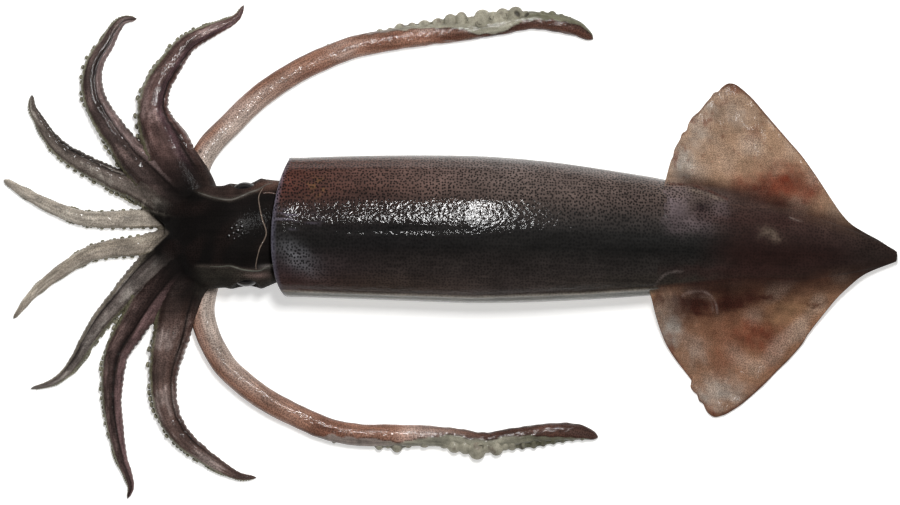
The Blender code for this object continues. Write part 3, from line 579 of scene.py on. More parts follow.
# limbs: routes and widths
arms = {
    "arm1Right": dict(
        route=[(-112, 11), (-126, 19.5), (-141, 28.9), (-152.5, 33.4), (-166, 40.2), (-175, 45.6), (-182, 52.6),
               (-187.4, 61.3), (-189.8, 66), (-190, 71.6)],
        halfWidth=7.2, taper=0.56, flare=0.6, rootHeight=14, side=-1,
        tone="#6c625b", back="#4c413c", inner="#221b19", outer="#7d7a62", pale="#9a938a", groove=0.6, mottle=0.5),
    "arm2Right": dict(
        route=[(-110, 14), (-125, 25.5), (-136, 36), (-144.4, 44), (-150.2, 51.3), (-157.3, 61.5), (-162.2, 72.7),
               (-161.6, 85), (-155.4, 95.5), (-152.3, 101.2), (-148.4, 105.5), (-142.3, 106.2)],
        halfWidth=8.8, taper=0.56, flare=1.6, rootHeight=12.5, side=-1,
        tone="#4d403d", back="#2d2320", inner="#786663", outer="#76735a", pale="#77645f", groove=0.3, mottle=0.45),
    "arm3Right": dict(
        route=[(-113, 17), (-118, 29), (-126.4, 42.5), (-132.6, 55.5), (-134.8, 65), (-132.8, 75.5), (-126.4, 86),
               (-118.9, 95.2), (-108, 101.1), (-100.5, 104.4), (-96.3, 107.6), (-93.8, 112.4)],
        halfWidth=10.4, taper=0.7, flare=2.4, rootHeight=10, side=-1,
        tone="#5c4743", back="#49353a", inner="#4a2f29", outer="#76735a", pale="#88736f", groove=0.68, mottle=0.55,
        web=(0.31, 0.15, 0.07)),
    "arm4Right": dict(
        route=[(-112, 12), (-126, 15.5), (-145, 15.2), (-164, 15.2), (-178, 19.4), (-190.6, 25.6), (-202.8, 33)],
        halfWidth=4.8, taper=0.4, flare=0, rootHeight=5, side=0,
        tone="#aaa094", back="#a0968a", inner="#968c7e", outer="#8d8474", pale="#bdb6aa", groove=0, mottle=0.3),
    "arm1Left": dict(
        route=[(-112, 7), (-127, 0), (-137.5, -8.4), (-145, -15.8), (-151.8, -23.2), (-158.4, -30.7),
               (-164.5, -40), (-169.5, -48.5), (-175.5, -55.6), (-182, -59.6), (-190.6, -61.9)],
        halfWidth=8, taper=0.78, flare=0.6, rootHeight=14, side=-1,
        tone="#6f6661", back="#4d4441", inner="#70685c", outer="#77745c", pale="#9a938c", groove=0.5, mottle=0.45),
    "arm2Left": dict(
        route=[(-112, 2), (-126, -9), (-136, -21), (-144.5, -34), (-151.2, -46), (-153.4, -59.2), (-153, -73),
               (-149.5, -92.4), (-146, -102), (-145, -107), (-146.6, -111.8)],
        halfWidth=8.4, taper=0.64, flare=0.9, rootHeight=12.5, side=1,
        tone="#463734", back="#2c211f", inner="#755c5b", outer="#76735a", pale="#75605c", groove=0.22, mottle=0.45),
    "arm3Left": dict(
        route=[(-109, -3), (-118.5, -12), (-123.5, -24), (-126.5, -38), (-129.4, -50), (-130.2, -61),
               (-127.6, -74), (-121.3, -84.3), (-111.5, -92.5), (-100.7, -99.4), (-94.7, -101.9), (-88, -102.3)],
        halfWidth=9.6, taper=0.68, flare=1.2, rootHeight=10, side=1,
        tone="#64514b", back="#483630", inner="#4d3934", outer="#76735a", pale="#95857f", groove=0.62, mottle=0.65),
    "arm4Left": dict(
        route=[(-112, 5), (-127, 5.6), (-141, 3.1), (-156, 1.3), (-165.3, -1.5), (-177.8, -9.3), (-189.3, -18.6),
               (-198.4, -30)],
        halfWidth=5.5, taper=0.6, flare=0, rootHeight=5, side=0,
        tone="#9f9488", back="#968b7e", inner="#8a7f6c", outer="#877e6c", pale="#b1a99c", groove=0, mottle=0.35),
}
limbShape = {"tip": 0.45, "flareShare": 0.45, "rest": 0.7, "rootShare": 0.42, "rows": 220, "sides": 44}


def armHalfWidths(arm, share):
    # a power-law taper from root to tip, with the web's flare added near the root
    swell = arm["flare"] * np.sin(pi * np.minimum(share / limbShape["flareShare"], 1))
    return limbShape["tip"] + (arm["halfWidth"] - limbShape["tip"]) * (1 - share) ** arm["taper"] + swell


def liftedPath(route, halfWidths, rootHeight):
    # the flat route, raised so that the limb comes down from its root and then lies on the table
    flat = smoothPath(route, len(halfWidths))
    share = np.linspace(0, 1, len(halfWidths))
    resting = limbShape["rest"] * halfWidths
    drop = np.clip(1 - share / limbShape["rootShare"], 0, 1) ** 1.6
    return np.column_stack([flat, resting + np.clip(rootHeight - resting, 0, None) * drop])


def carried(path, across, up):
    # a section carried along a path: each row holds its offsets to the right of travel and upward
    along = np.gradient(path, axis=0)
    along /= np.linalg.norm(along, axis=1, keepdims=True)
    sideways = np.cross(along, [0, 0, 1.0])
    sideways /= np.linalg.norm(sideways, axis=1, keepdims=True)
    upward = np.cross(sideways, along)
    return path[:, None] + across[..., None] * sideways[:, None] + up[..., None] * upward[:, None]


def limbFrames(path):
    along = np.gradient(path, axis=0)
    along /= np.linalg.norm(along, axis=1, keepdims=True)
    sideways = np.cross(along, [0, 0, 1.0])
    sideways /= np.linalg.norm(sideways, axis=1, keepdims=True)
    return sideways, np.cross(sideways, along)


def armSection(turn):
    # a limb's outline for a half width of one: rounded shoulders, low keel, flat belly
    across = np.sign(np.cos(turn)) * np.abs(np.cos(turn)) ** 0.85
    rise = np.sin(turn)
    up = np.where(rise > 0, 0.8 * np.abs(rise) ** 0.95, -0.74 * np.abs(rise) ** 0.6)
    return across, up


def armTone(arm, share, across, up, places, seed):
    # bands across the limb (keel, groove, back, brown line, fringe), broken by streaks and patches drawn out along it
    share = share + 0 * across
    inner = -arm["side"] if arm["side"] else 1
    drawn = np.stack([share * 42, across * 5, up * 5], axis=-1)
    over = across * inner + 0.07 * softNoise(drawn, 9, seed + 9)
    above = smoothStep(up, -0.1, 0.1)
    patches = softNoise(drawn, 7, seed + 40)
    streaks = softNoise(drawn * [0.5, 1, 1], 2.2, seed + 41)
    tone = toLinear(arm["tone"]) + 0 * places
    flecks = softNoise(drawn * [1.4, 2, 2], 1.7, seed + 42)
    light = np.clip(arm["mottle"] * 1.4 * smoothStep(patches + 0.35 * streaks + 0.3 * flecks, 0.0, 0.8), 0, 0.85)
    tone = mixed(tone, toLinear(arm["pale"]), light)
    tone = mixed(tone, toLinear(arm["back"]), hump(over - arm["groove"] + 0.2, 0.2) * above * 0.85)
    keel = smoothStep(over, arm["groove"] + 0.06, arm["groove"] + 0.16) * (1 - 0.6 * smoothStep(over, 0.8, 0.97))
    tone = mixed(tone, toLinear(arm["inner"]), keel * (0.9 if arm["groove"] else 0.3))
    tone = tone * (1 - 0.5 * arm["mottle"] * smoothStep(-patches, 0.1, 0.8) + 0.16 * np.clip(streaks, -1, 1)
                   + 0.14 * np.clip(flecks, -1, 1))[..., None]
    fringe = smoothStep(-over, 0.74, 0.86)
    brown = hump(over + 0.66, 0.1) * (1 - share * 0.6) * (1 if arm["side"] else 0)
    tone = mixed(tone, toLinear("#2e201b"), brown * 0.8 * above)
    tone = mixed(tone, toLinear(arm["outer"]), fringe * 0.9)
    line = hump(across * inner - arm["groove"], 0.075) * above * (arm["groove"] > 0)
    tone = mixed(tone, toLinear("#0a0706"), line * 0.95 * smoothStep(1 - share, 0.03, 0.25))
    under = smoothStep(-up, 0.15, 0.6)
    tone = mixed(tone, toLinear("#857b6d"), under * 0.85)
    if arm["side"]:
        tone = mixed(tone, toLinear("#1a1312"), 0.8 * (1 - smoothStep(share, 0.1, 0.34)) * (1 - under))
    return tone


def makeArm(name, arm, seed):
    # the limb's outline carried along its path, with lumps at both edges and a groove beside the keel
    rows, sides = limbShape["rows"], limbShape["sides"]
    share = np.linspace(0, 1, rows)
    width = armHalfWidths(arm, share)
    path = liftedPath(arm["route"], width, arm["rootHeight"])
    width = width * (0.93 + 0.07 * smoothStep(share, 0.12, 0.3))
    width[-4:] *= np.array([0.98, 0.85, 0.6, 0.25])
    turn = np.linspace(-0.5 * pi, 1.5 * pi, sides, endpoint=False)[None, :] + 0 * share[:, None]
    across, up = armSection(turn)
    length = share[:, None] * 110 + 0 * turn
    laid = np.stack([length, (turn - 0.5 * pi) * 0.85 * width[:, None]], axis=-1)
    edge = np.abs(across) ** 3
    lumps = 0.035 * edge * np.sin(length * 2.6 + seed) + 0.04 * softNoise(np.stack([length, across * 3], -1), 5, seed)
    inner = -arm["side"] if arm["side"] else 1
    grooved = hump(across * inner - arm["groove"], 0.1) * (up > 0) * (arm["groove"] > 0)
    keel = smoothStep(across * inner, arm["groove"], arm["groove"] + 0.2) * (up > 0) * (arm["groove"] > 0)
    if "web" in arm:
        # a soft bump of web on the inner edge, without the small lumps
        at, amount, spread = arm["web"]
        web = hump(share[:, None] - at, spread) * smoothStep(across * inner, 0.1, 1.0)
        lumps = lumps * (1 - web) + amount * web
    body = 1 + lumps - 0.2 * grooved + 0.05 * keel
    grid = carried(path, across * width[:, None] * (1 + lumps), up * width[:, None] * body)
    grid[..., 2] = np.maximum(grid[..., 2], 0.06)
    points, faces = gridSkin(grid)
    tone = armTone(arm, share[:, None], across, up, grid, seed)
    dots = 0.3 * (1 - 0.6 * smoothStep(-up, 0.15, 0.6)) + 0.1 * softNoise(grid, 12, seed + 2)
    piece = newPiece(name, points * mm, faces, "squid", wetLimb)
    paint(piece, capped(tone), capped(np.clip(dots, 0, 1)), capped(laid), 0.22)
    return path, width


print("arms:", ", ".join(arms))
armSeeds = {name: 50 + 3 * i for i, name in enumerate(arms)}
armPaths = {name: makeArm(name, arm, armSeeds[name]) for name, arm in arms.items()}


# head and crown: one blended skin
head = {
    "sections": [(-57, 10, 20, 8, 28), (-60, 10, 21.4, 6.4, 28.4), (-67, 10, 22, 5.4, 28.9), (-74, 9.8, 22.4, 5, 29.6),
                 (-79, 9.4, 23.3, 4.4, 30.2), (-83, 8.8, 24.2, 3.6, 31), (-92, 8, 24.2, 2.6, 32.4),
                 (-99, 7.4, 23.2, 0.9, 32.7), (-105, 7, 23.2, 0.4, 31.2), (-110, 7, 23.3, 0.2, 28.6),
                 (-119, 8, 21.5, 0.1, 22.6), (-125.5, 8.6, 16, 0.4, 17), (-129, 9, 8.5, 3, 12)],
    "sides": 96, "rows": 120, "stubEnd": 0.4, "voxel": 0.75, "relax": 9,
    "tone": "#100d0c", "warm": "#1c1412", "cheek": "#3b2e2a", "olive": "#37332d", "under": "#7b7166",
    # tinted skin behind the eyes: x, y, half length, half width, colour
    "folds": [(-83, 30, 5.5, 2.2, "#5d443b"), (-79, 31.6, 3, 1.6, "#6a5148"), (-86, -10.2, 5, 1.6, "#6b5954"),
              (-82, -6.4, 3.6, 0.9, "#6c6663"), (-92, 34, 7, 1.4, "#1b1513")],
}
eyes = {
    "eyeRight": dict(place=(-92.5, 26.3, 18.8), out=1, replaces="eye_right"),
    "eyeLeft": dict(place=(-92.0, -9.9, 19.2), out=-1, replaces="eye_left"),
}
eyeSize = np.array([6.5, 5.5, 6.7])


def makeHead():
    # closed tubes for the head and the first part of each arm, fused by a voxel remesh and relaxed into fillets
    table = smoothPath(head["sections"], head["rows"])
    turn = np.linspace(0, 2 * pi, head["sides"], endpoint=False)[None, :]
    cx, cy, hw, low, top = (table[:, k:k + 1] for k in range(5))
    grid = np.stack([cx + 0 * turn, cy + hw * np.cos(turn),
                     np.maximum(0.5 * (top + low) + 0.5 * (top - low) * np.sin(turn), 0.3)], axis=-1)
    points, faces = gridSkin(grid)
    if signedVolume(points, faces) < 0:
        faces = [f[::-1] for f in faces]
    for arm in arms.values():
        share = np.linspace(0, 1, limbShape["rows"])
        width = armHalfWidths(arm, share)
        path = liftedPath(arm["route"], width, arm["rootHeight"])
        keep = share < head["stubEnd"]
        width = width[keep] * (1.04 - 0.14 * smoothStep(share[keep], 0.2, head["stubEnd"]))
        across, up = armSection(np.linspace(0, 2 * pi, limbShape["sides"], endpoint=False)[None, :] + 0 * width[:, None])
        stub = carried(path[keep], across * width[:, None], up * width[:, None])
        stub[..., 2] = np.maximum(stub[..., 2], 0.3)
        stubPoints, stubFaces = gridSkin(stub)
        if signedVolume(stubPoints, stubFaces) < 0:
            stubFaces = [f[::-1] for f in stubFaces]
        faces = faces + [[i + len(points) for i in f] for f in stubFaces]
        points = np.vstack([points, stubPoints])
    piece = newPiece("headAndCrown", points * mm, faces, "squid", headSkin)
    fuse = piece.modifiers.new("fuse", "REMESH")
    fuse.mode = "VOXEL"
    fuse.voxel_size = head["voxel"] * mm
    relax = piece.modifiers.new("relax", "SMOOTH")
    relax.iterations = head["relax"]
    relax.factor = 0.6
    graph = bpy.context.evaluated_depsgraph_get()
    fused = bpy.data.meshes.new_from_object(piece.evaluated_get(graph))
    piece.modifiers.clear()
    piece.data = fused
    if not fused.materials:
        fused.materials.append(headSkin)
    fused.shade_smooth()
    return piece


def eyelidY(x):
    # where the pale fold runs along the right and the left side of the head
    right = np.interp(x, [-116, -113.7, -106.4, -99, -93.7, -90.3, -86.3, -83, -79.7, -77],
                      [28.2, 27.1, 24.7, 23.7, 25.4, 26.9, 28.4, 30.4, 32.6, 33])
    left = np.interp(x, [-112, -103, -99, -93.7, -87, -83, -79], [-6.2, -6.4, -6.2, -7.8, -8.4, -6.9, -5.2])
    return right, left


def sculptHead(piece):
    # eye bulges, sockets and folds are pushed into the relaxed skin, then it is coloured by place
    mesh = piece.data
    flat = np.empty(len(mesh.vertices) * 3, np.float32)
    mesh.vertices.foreach_get("co", flat)
    spots = flat.reshape(-1, 3).astype(float) / mm
    for eye in eyes.values():
        gap = (spots - eye["place"]) / (eyeSize * 1.0)
        flatGap = np.hypot(gap[:, 0], gap[:, 2])
        onSide = (gap[:, 1] * eye["out"] > -0.6)
        lid = hump(flatGap - 1.12, 0.28) * onSide * (flatGap < 2)
        sink = (1 - smoothStep(flatGap, 0.7, 1.05)) * onSide
        spots[:, 1] += eye["out"] * (0.7 * lid - 2.6 * sink)
    x, y, z = spots.T
    right, left = eyelidY(x)
    upper = z > 12
    onHead = smoothStep(x, -117, -111) * (x < -76)
    seam = (hump(y - right, 0.8) + hump(y - left, 0.8)) * onHead * upper
    spots[:, 2] += 0.35 * seam
    spots[:, 2] -= 0.5 * (hump(y - right - 1.6, 1.1) + hump(left - 1.6 - y, 1.1)) * onHead * upper
    spots[:, 2] = np.maximum(spots[:, 2], 0.05)
    mesh.vertices.foreach_set("co", (spots * mm).astype(np.float32).ravel())
    mesh.update()
    tone = toLinear(head["tone"]) + 0 * spots
    wide, fine = softNoise(spots, 16, 71), softNoise(spots, 5, 72)
    tone = mixed(tone, toLinear(head["warm"]), 0.6 * smoothStep(wide, -0.2, 0.9))
    nearHead = smoothStep(x, -119, -108) * (x < -70)
    cheek = smoothStep(y - right, 0.0, 1.2) * nearHead
    tone = mixed(tone, toLinear(head["cheek"]), 0.85 * cheek * (0.8 + 0.2 * fine))
    otherCheek = smoothStep(left - y, 0.0, 1.2) * nearHead
    tone = mixed(tone, toLinear(head["olive"]), 0.7 * otherCheek * (0.8 + 0.2 * fine))
    # the arms' own colours take over along their roots
    nearest = np.full(len(spots), 1e9)
    best = tone.copy()
    reach = np.zeros(len(spots))
    for name, arm in arms.items():
        path, width = armPaths[name]
        part = np.arange(0, int(0.5 * len(path)), 2)
        sideways, upward = limbFrames(path)
        gaps = np.linalg.norm(spots[:, None, :2] - path[None, part, :2], axis=2) / width[None, part]
        at = part[gaps.argmin(axis=1)]
        gap = gaps.min(axis=1)
        offset = (spots - path[at]) / width[at, None]
        across = (offset * sideways[at]).sum(axis=1)
        up = (offset * upward[at]).sum(axis=1)
        own = armTone(arm, at / len(path), across, up, spots, armSeeds[name])
        closer = gap < nearest
        nearest = np.where(closer, gap, nearest)
        best = np.where(closer[:, None], own, best)
        reach = np.where(closer, at / len(path), reach)
    takeOver = smoothStep(reach, 0.08, 0.3) * (1 - smoothStep(nearest, 1.0, 1.5))
    # the black skin of the back ends in a wedge over the two pale arms below it
    fromMiddle = np.abs(y - 8.8)
    wedge = smoothStep(x + 1.05 * fromMiddle, -127.6, -126.2) * (1 - smoothStep(fromMiddle + 1.5 * fine, 6, 17))
    tone = mixed(tone, best, takeOver * (1 - wedge * smoothStep(z, 3, 6)))
    under = 1 - smoothStep(z, 1.5, 6)
    tone = mixed(tone, toLinear(head["under"]), 0.8 * under)
    tone = mixed(tone, toLinear("#665c54"), 0.42 * seam)
    for sx, sy, rx, ry, colour in head["folds"]:
        tone = mixed(tone, toLinear(colour), 0.8 * hump(np.hypot((x - sx) / rx, (y - sy) / ry), 1.0) * upper)
    paint(piece, tone, 0.22 + 0.2 * smoothStep(wide, 0, 1), specks=0.12)


headPiece = makeHead()
sculptHead(headPiece)
print("head and crown done, triangles:", 2 * len(headPiece.data.polygons))


def skinFinder(pieces):
    # gives the top of the finished skin under a place on the plan
    trees = []
    for piece in pieces:
        mesh = piece.data
        flat = np.empty(len(mesh.vertices) * 3, np.float32)
        mesh.vertices.foreach_get("co", flat)
        trees.append(BVHTree.FromPolygons(flat.reshape(-1, 3).tolist(), [tuple(p.vertices) for p in mesh.polygons]))

    def top(x, y):
        hits = [tree.ray_cast((x * mm, y * mm, 0.1), (0, 0, -1))[0] for tree in trees]
        return max([hit.z / mm for hit in hits if hit], default=0.5)
    return top


def makeDrops(name, spots, top, material):
    # flat lenses of water on the skin: z = height of the skin + 0.13 x radius x cosine
    down = np.linspace(0, 0.6 * pi, 9)[1:, None]
    around = np.linspace(0, 2 * pi, 14, endpoint=False)[None, :]
    unit, unitFaces = gridSkin(np.stack([np.sin(down) * np.cos(around), np.sin(down) * np.sin(around),
                                         0.13 * np.cos(down) + 0 * around], axis=-1))
    centres = np.array([(x, y, top(x, y)) for x, y, size in spots])
    points = centres[:, None] + unit[None] * np.array([size for x, y, size in spots])[:, None, None]
    shift = (np.arange(len(spots)) * len(unit)).tolist()
    faces = [[i + s for i in f] for s in shift for f in unitFaces]
    piece = newPiece(name, points.reshape(-1, 3) * mm, faces, "squid", material)
    paint(piece, toLinear(head["tone"]) + 0 * points.reshape(-1, 3), 0.0)


drops = [(-99.6, 7.2, 0.8), (-98.4, 10.6, 0.85), (-97.6, 8.6, 0.7), (-97.2, 5.9, 0.6), (-96.2, 12, 0.75),
         (-95.6, 9.6, 1.0), (-95.2, 7.0, 0.6), (-93.9, 11.3, 0.85), (-94, 13.4, 0.65), (-93.4, 8.4, 0.6)]
makeDrops("headDrops", drops, skinFinder([headPiece]), waterGloss)
print("drops done")


# eyes
eyeLook = {"rows": 40, "sides": 64, "pupil": "#0b0a0b", "iris": "#1d1b1c", "white": "#2b2624"}


def makeEye(name, eye):
    # a ball whose pole looks out of the head, with pupil, iris and rim as rings of colour about that pole
    down = np.linspace(0, pi, eyeLook["rows"])[1:-1, None]
    around = np.linspace(0, 2 * pi, eyeLook["sides"], endpoint=False)[None, :]
    pole = np.array([-0.1, eye["out"] * 1.0, 0.28])
    pole /= np.linalg.norm(pole)
    first = np.cross(pole, [0, 0, 1.0])
    first /= np.linalg.norm(first)
    second = np.cross(pole, first)
    ball = (np.cos(down)[..., None] * pole + (np.sin(down) * np.cos(around))[..., None] * first
            + (np.sin(down) * np.sin(around))[..., None] * second)
    grid = np.array(eye["place"]) + ball * eyeSize
    points, faces = gridSkin(grid)
    turned = np.degrees(down) + 0 * around
    tone = mixed(toLinear(eyeLook["pupil"]) + 0 * grid, toLinear(eyeLook["iris"]), smoothStep(turned, 40, 46))
    tone = mixed(tone, toLinear(eyeLook["white"]), smoothStep(turned, 66, 80))
    piece = newPiece(name, points * mm, faces, eye["replaces"], eyeGloss)
    paint(piece, capped(tone), 0.0)


for eyeName, eye in eyes.items():
    makeEye(eyeName, eye)
print("eyes done")


# tentacles
tentacles = {
    "tentacleRight": dict(
        route=[(-106, 20), (-113, 29), (-114.3, 38), (-109.3, 48), (-99.9, 57.9), (-87.8, 69.7), (-73.8, 79.6),
               (-59, 87.4), (-43, 93.4), (-26.5, 96.6), (-10, 98.9), (8, 100.7), (24, 103.1), (36, 105.4),
               (48, 104.2), (57, 101.9), (65, 97)],
        pad=[(-56, 93.2), (-44, 97.4), (-32, 100.2), (-15, 103.2), (0, 105.6), (14, 107.8), (26, 108.4), (32, 108.6),
             (40, 107.5), (50, 106.4), (57.5, 103.6), (63, 99.4)],
        side=-1, blackSpots=[(-113.2, 45.9, 0.6)],
        # how far over the back the pale sucker side reaches, from 1 (none) to -1 (all)
        paleFrom=[(-70, 1.1), (-30, 0.8), (-5, 0.55), (5, 0.3), (12, -0.5), (24, -0.8), (32, -0.1), (42, 0.1),
                  (52, 0.35), (65, 0.7)]),
    "tentacleLeft": dict(
        route=[(-105, -2), (-110, -13), (-112.3, -26), (-109.8, -37.5), (-104.9, -47.1), (-99.6, -54.1),
               (-86.1, -65.2), (-70.7, -73.6), (-54.7, -80.4), (-40, -82.9), (-28.6, -83), (-14, -83.2), (0, -83.9),
               (16, -85.6), (28, -83.8), (40, -82), (52, -81.3), (60, -81.8), (67.2, -83.9)],
        pad=[(-52, -85.2), (-40, -87.6), (-26, -88.4), (-14, -87.2), (0, -88.4), (12, -90.4), (20, -89.6), (28, -87.6),
             (38, -86.8), (48, -85.4), (58, -84.4), (64, -84.6)],
        side=1, blackSpots=[],
        paleFrom=[(-62, 1.1), (-54, 0.35), (-33, 0.25), (-26, 0.65), (-18, 0.5), (-10, 0.1), (0, -0.25), (20, -0.2), (28, -0.1), (36, 0.2),
                  (46, 0.6), (67, 0.9)]),
}
tentacleShape = {"root": 5.7, "stalk": 4.9, "club": 4.0, "clubStarts": 0.64, "clubBlend": 0.12, "tip": 1.4,
                 "tipStarts": 0.93, "rootHeight": 7, "rows": 420, "sides": 48,
                 "tone": "#8a6554", "light": "#aa9084", "deep": "#653d2e", "grey": "#aa9c92",
                 "pale": "#949080", "clubSkin": "#36231f", "green": "#54533f"}


def tentacleHalfWidths(share):
    # a stalk that narrows slowly, then the club's back, then a blunt tip
    s = tentacleShape
    stalk = s["root"] + (s["stalk"] - s["root"]) * np.minimum(share / s["clubStarts"], 1)
    width = stalk + (s["club"] - stalk) * np.clip((share - s["clubStarts"]) / s["clubBlend"], 0, 1)
    toTip = np.clip((share - s["tipStarts"]) / (1 - s["tipStarts"]), 0, 1)
    return width + (s["tip"] - width) * toTip ** 2


def makeTentacle(name, tentacle, seed):
    s = tentacleShape
    share = np.linspace(0, 1, s["rows"])
    width = tentacleHalfWidths(share)
    path = liftedPath(tentacle["route"], width, s["rootHeight"])
    width[-5:] *= np.array([0.98, 0.93, 0.8, 0.58, 0.25])
    turn = np.linspace(-0.5 * pi, 1.5 * pi, s["sides"], endpoint=False)[None, :] + 0 * share[:, None]
    across, up = armSection(turn)
    run = np.concatenate([[0], np.cumsum(np.linalg.norm(np.diff(path, axis=0), axis=1))])
    laid = np.stack([run[:, None] + 0 * turn, (turn - 0.5 * pi) * 0.85 * width[:, None]], axis=-1)
    club = smoothStep(share, 0.58, 0.7)[:, None]
    spread = np.stack([path[:, :1] + 0 * turn, across * 5 * tentacle["side"], up * 5], axis=-1)
    lumps = 0.02 * softNoise(spread, 8, seed) + 0.045 * club * softNoise(spread, 5, seed + 1)
    grid = carried(path, across * width[:, None] * (1 + lumps), up * width[:, None] * (1 + lumps))
    grid[..., 2] = np.maximum(grid[..., 2], 0.06)
    points, faces = gridSkin(grid)
    outward = across * tentacle["side"]
    x = grid[..., 0]
    drawn = np.stack([share[:, None] * 85 + 0 * turn, across * 5, up * 5], axis=-1)
    mottled = 0.7 * softNoise(drawn, 14, seed + 2) + 0.5 * softNoise(drawn * [0.4, 1, 1], 3.5, seed + 6)
    tone = mixed(toLinear(s["tone"]) + 0 * grid, toLinear(s["light"]), smoothStep(mottled, -0.1, 0.9))
    tone = mixed(tone, toLinear(s["deep"]), smoothStep(-mottled, 0.1, 1.0) * 0.7)
    tone = mixed(tone, toLinear(s["deep"]), 0.5 * smoothStep(np.abs(across), 0.78, 1.0))
    rootPale = hump(share[:, None] - 0.1, 0.2) * smoothStep(outward * -1, -0.7, 0.3)
    tone = mixed(tone, toLinear(s["grey"]), rootPale * 0.95)
    tone = mixed(tone, toLinear(s["clubSkin"]), smoothStep(share, 0.6, 0.8)[:, None] * (0.85 + 0.15 * mottled))
    knots = np.array(tentacle["paleFrom"])
    border = np.interp(x, knots[:, 0], knots[:, 1]) + 0.12 * softNoise(spread, 6, seed + 3)
    bare = smoothStep(outward, border - 0.03, border + 0.05) * smoothStep(x, -72, -60) * smoothStep(share, 0.4, 0.45)[:, None]
    tone = mixed(tone, toLinear("#2b1f1c"), 0.7 * hump(outward - border + 0.06, 0.07) * smoothStep(x, -60, -30))
    paleTone = mixed(toLinear("#92847c") + 0 * grid, toLinear(s["pale"]), smoothStep(x, -36, -14))
    paleTone = mixed(paleTone, toLinear(s["green"]), smoothStep(x, 22, 40) * 0.7)
    paleTone = paleTone * (1 + 0.15 * np.clip(softNoise(grid, 4, seed + 4), -1, 1))[..., None]
    tone = mixed(tone, paleTone, bare)
    tone = mixed(tone, toLinear("#8b8175"), smoothStep(-up, 0.2, 0.65) * 0.7)
    for spotX, spotY, size in tentacle["blackSpots"]:
        tone = mixed(tone, toLinear("#120c0a"), hump(np.hypot(x - spotX, grid[..., 1] - spotY), size) * (up > 0))
    piece = newPiece(name, points * mm, faces, "squid", wetLimb)
    paint(piece, capped(tone), capped((0.36 * (1 - bare) + 0.05)), capped(laid), 0.2)
    return path, width


tentaclePaths = {name: makeTentacle(name, t, 90 + 7 * i) for i, (name, t) in enumerate(tentacles.items())}
print("tentacles done")


# suckers
# the gap colour is painted shade, around the cups' feet and between the pad's lobes
suckerShape = {"tone": "#7f7c66", "ring": "#3f3b30", "pale": "#a19c8b", "cup": "#4a473b", "gap": "#4d4b3c"}


def suckerRings(sides):
    # profile of one sucker, out from its stalk: swollen wall, rim, and a shallow cup
    fine = [(0.5, -0.7), (0.86, -0.42), (1.0, -0.02), (0.98, 0.32), (0.84, 0.56), (0.66, 0.62), (0.5, 0.55), (0.36, 0.36)]
    plain = [(0.55, -0.5), (0.95, -0.05), (1.0, 0.35), (0.8, 0.62), (0.55, 0.6), (0.35, 0.38)]
    profile = np.array(fine if sides > 12 else plain)
    around = np.linspace(0, 2 * pi, sides, endpoint=False)
    rings = np.stack([profile[:, :1] * np.cos(around), profile[:, :1] * np.sin(around),
                      profile[:, 1:] + 0 * around], axis=-1)
    hollow = smoothStep(np.arange(len(profile)), len(profile) - 3.2, len(profile) - 1)
    rim = hump(np.arange(len(profile)) - (len(profile) - 3), 1.0)
    return rings, np.concatenate([np.repeat(rim, sides), [0, 0]]), np.concatenate([np.repeat(hollow, sides), [0, 1]])


def makeSuckers(name, spots, facing, radii, paleness, sides=10):
    # the same small cup at each spot, turned to face outward: points = spot + radius x (ring . local axes)
    rings, rimOf, cupOf = suckerRings(sides)
    unit, unitFaces = gridSkin(rings)
    facing = facing / np.linalg.norm(facing, axis=1, keepdims=True)
    first = np.cross(facing, [0.13, 0.07, 1.0])
    first /= np.linalg.norm(first, axis=1, keepdims=True)
    second = np.cross(facing, first)
    axes = np.stack([first, second, facing], axis=1)
    points = spots[:, None] + radii[:, None, None] * np.einsum("pk,nkj->npj", unit, axes)
    if sides > 12:
        points = points + 0.16 * radii[:, None, None] * softNoise(points, 2.6, 77)[..., None] * [1, 1, 0.5]
    points[..., 2] = np.maximum(points[..., 2], 0.05 + 0.02 * np.abs(unit[None, :, 0]))
    count = len(unit)
    shift = (np.arange(len(spots)) * count)
    faces = [[i + s for i in f] for s in shift.tolist() for f in unitFaces]
    tone = mixed(toLinear(suckerShape["tone"]), toLinear(suckerShape["pale"]), paleness)[:, None] + 0 * points
    tone = mixed(tone, toLinear(suckerShape["ring"]), 0.25 * rimOf[None, :])
    tone = mixed(tone, toLinear(suckerShape["cup"]), 0.85 * cupOf[None, :])
    tone = tone * (1 + 0.14 * np.sin(np.arange(len(spots)) * 2.4))[:, None, None]
    # painted shade: darker where each cup sits on the flesh, the shade in the gap around its foot
    footShade = 1 - smoothStep(unit[:, 2], -0.6, 0.1)
    tone = mixed(tone, toLinear(suckerShape["gap"]), 0.7 * footShade[None, :] * np.ones((len(spots), 1)))
    piece = newPiece(name, points.reshape(-1, 3) * mm, faces, "squid", suckerFlesh)
    paint(piece, tone.reshape(-1, 3), 0.1)


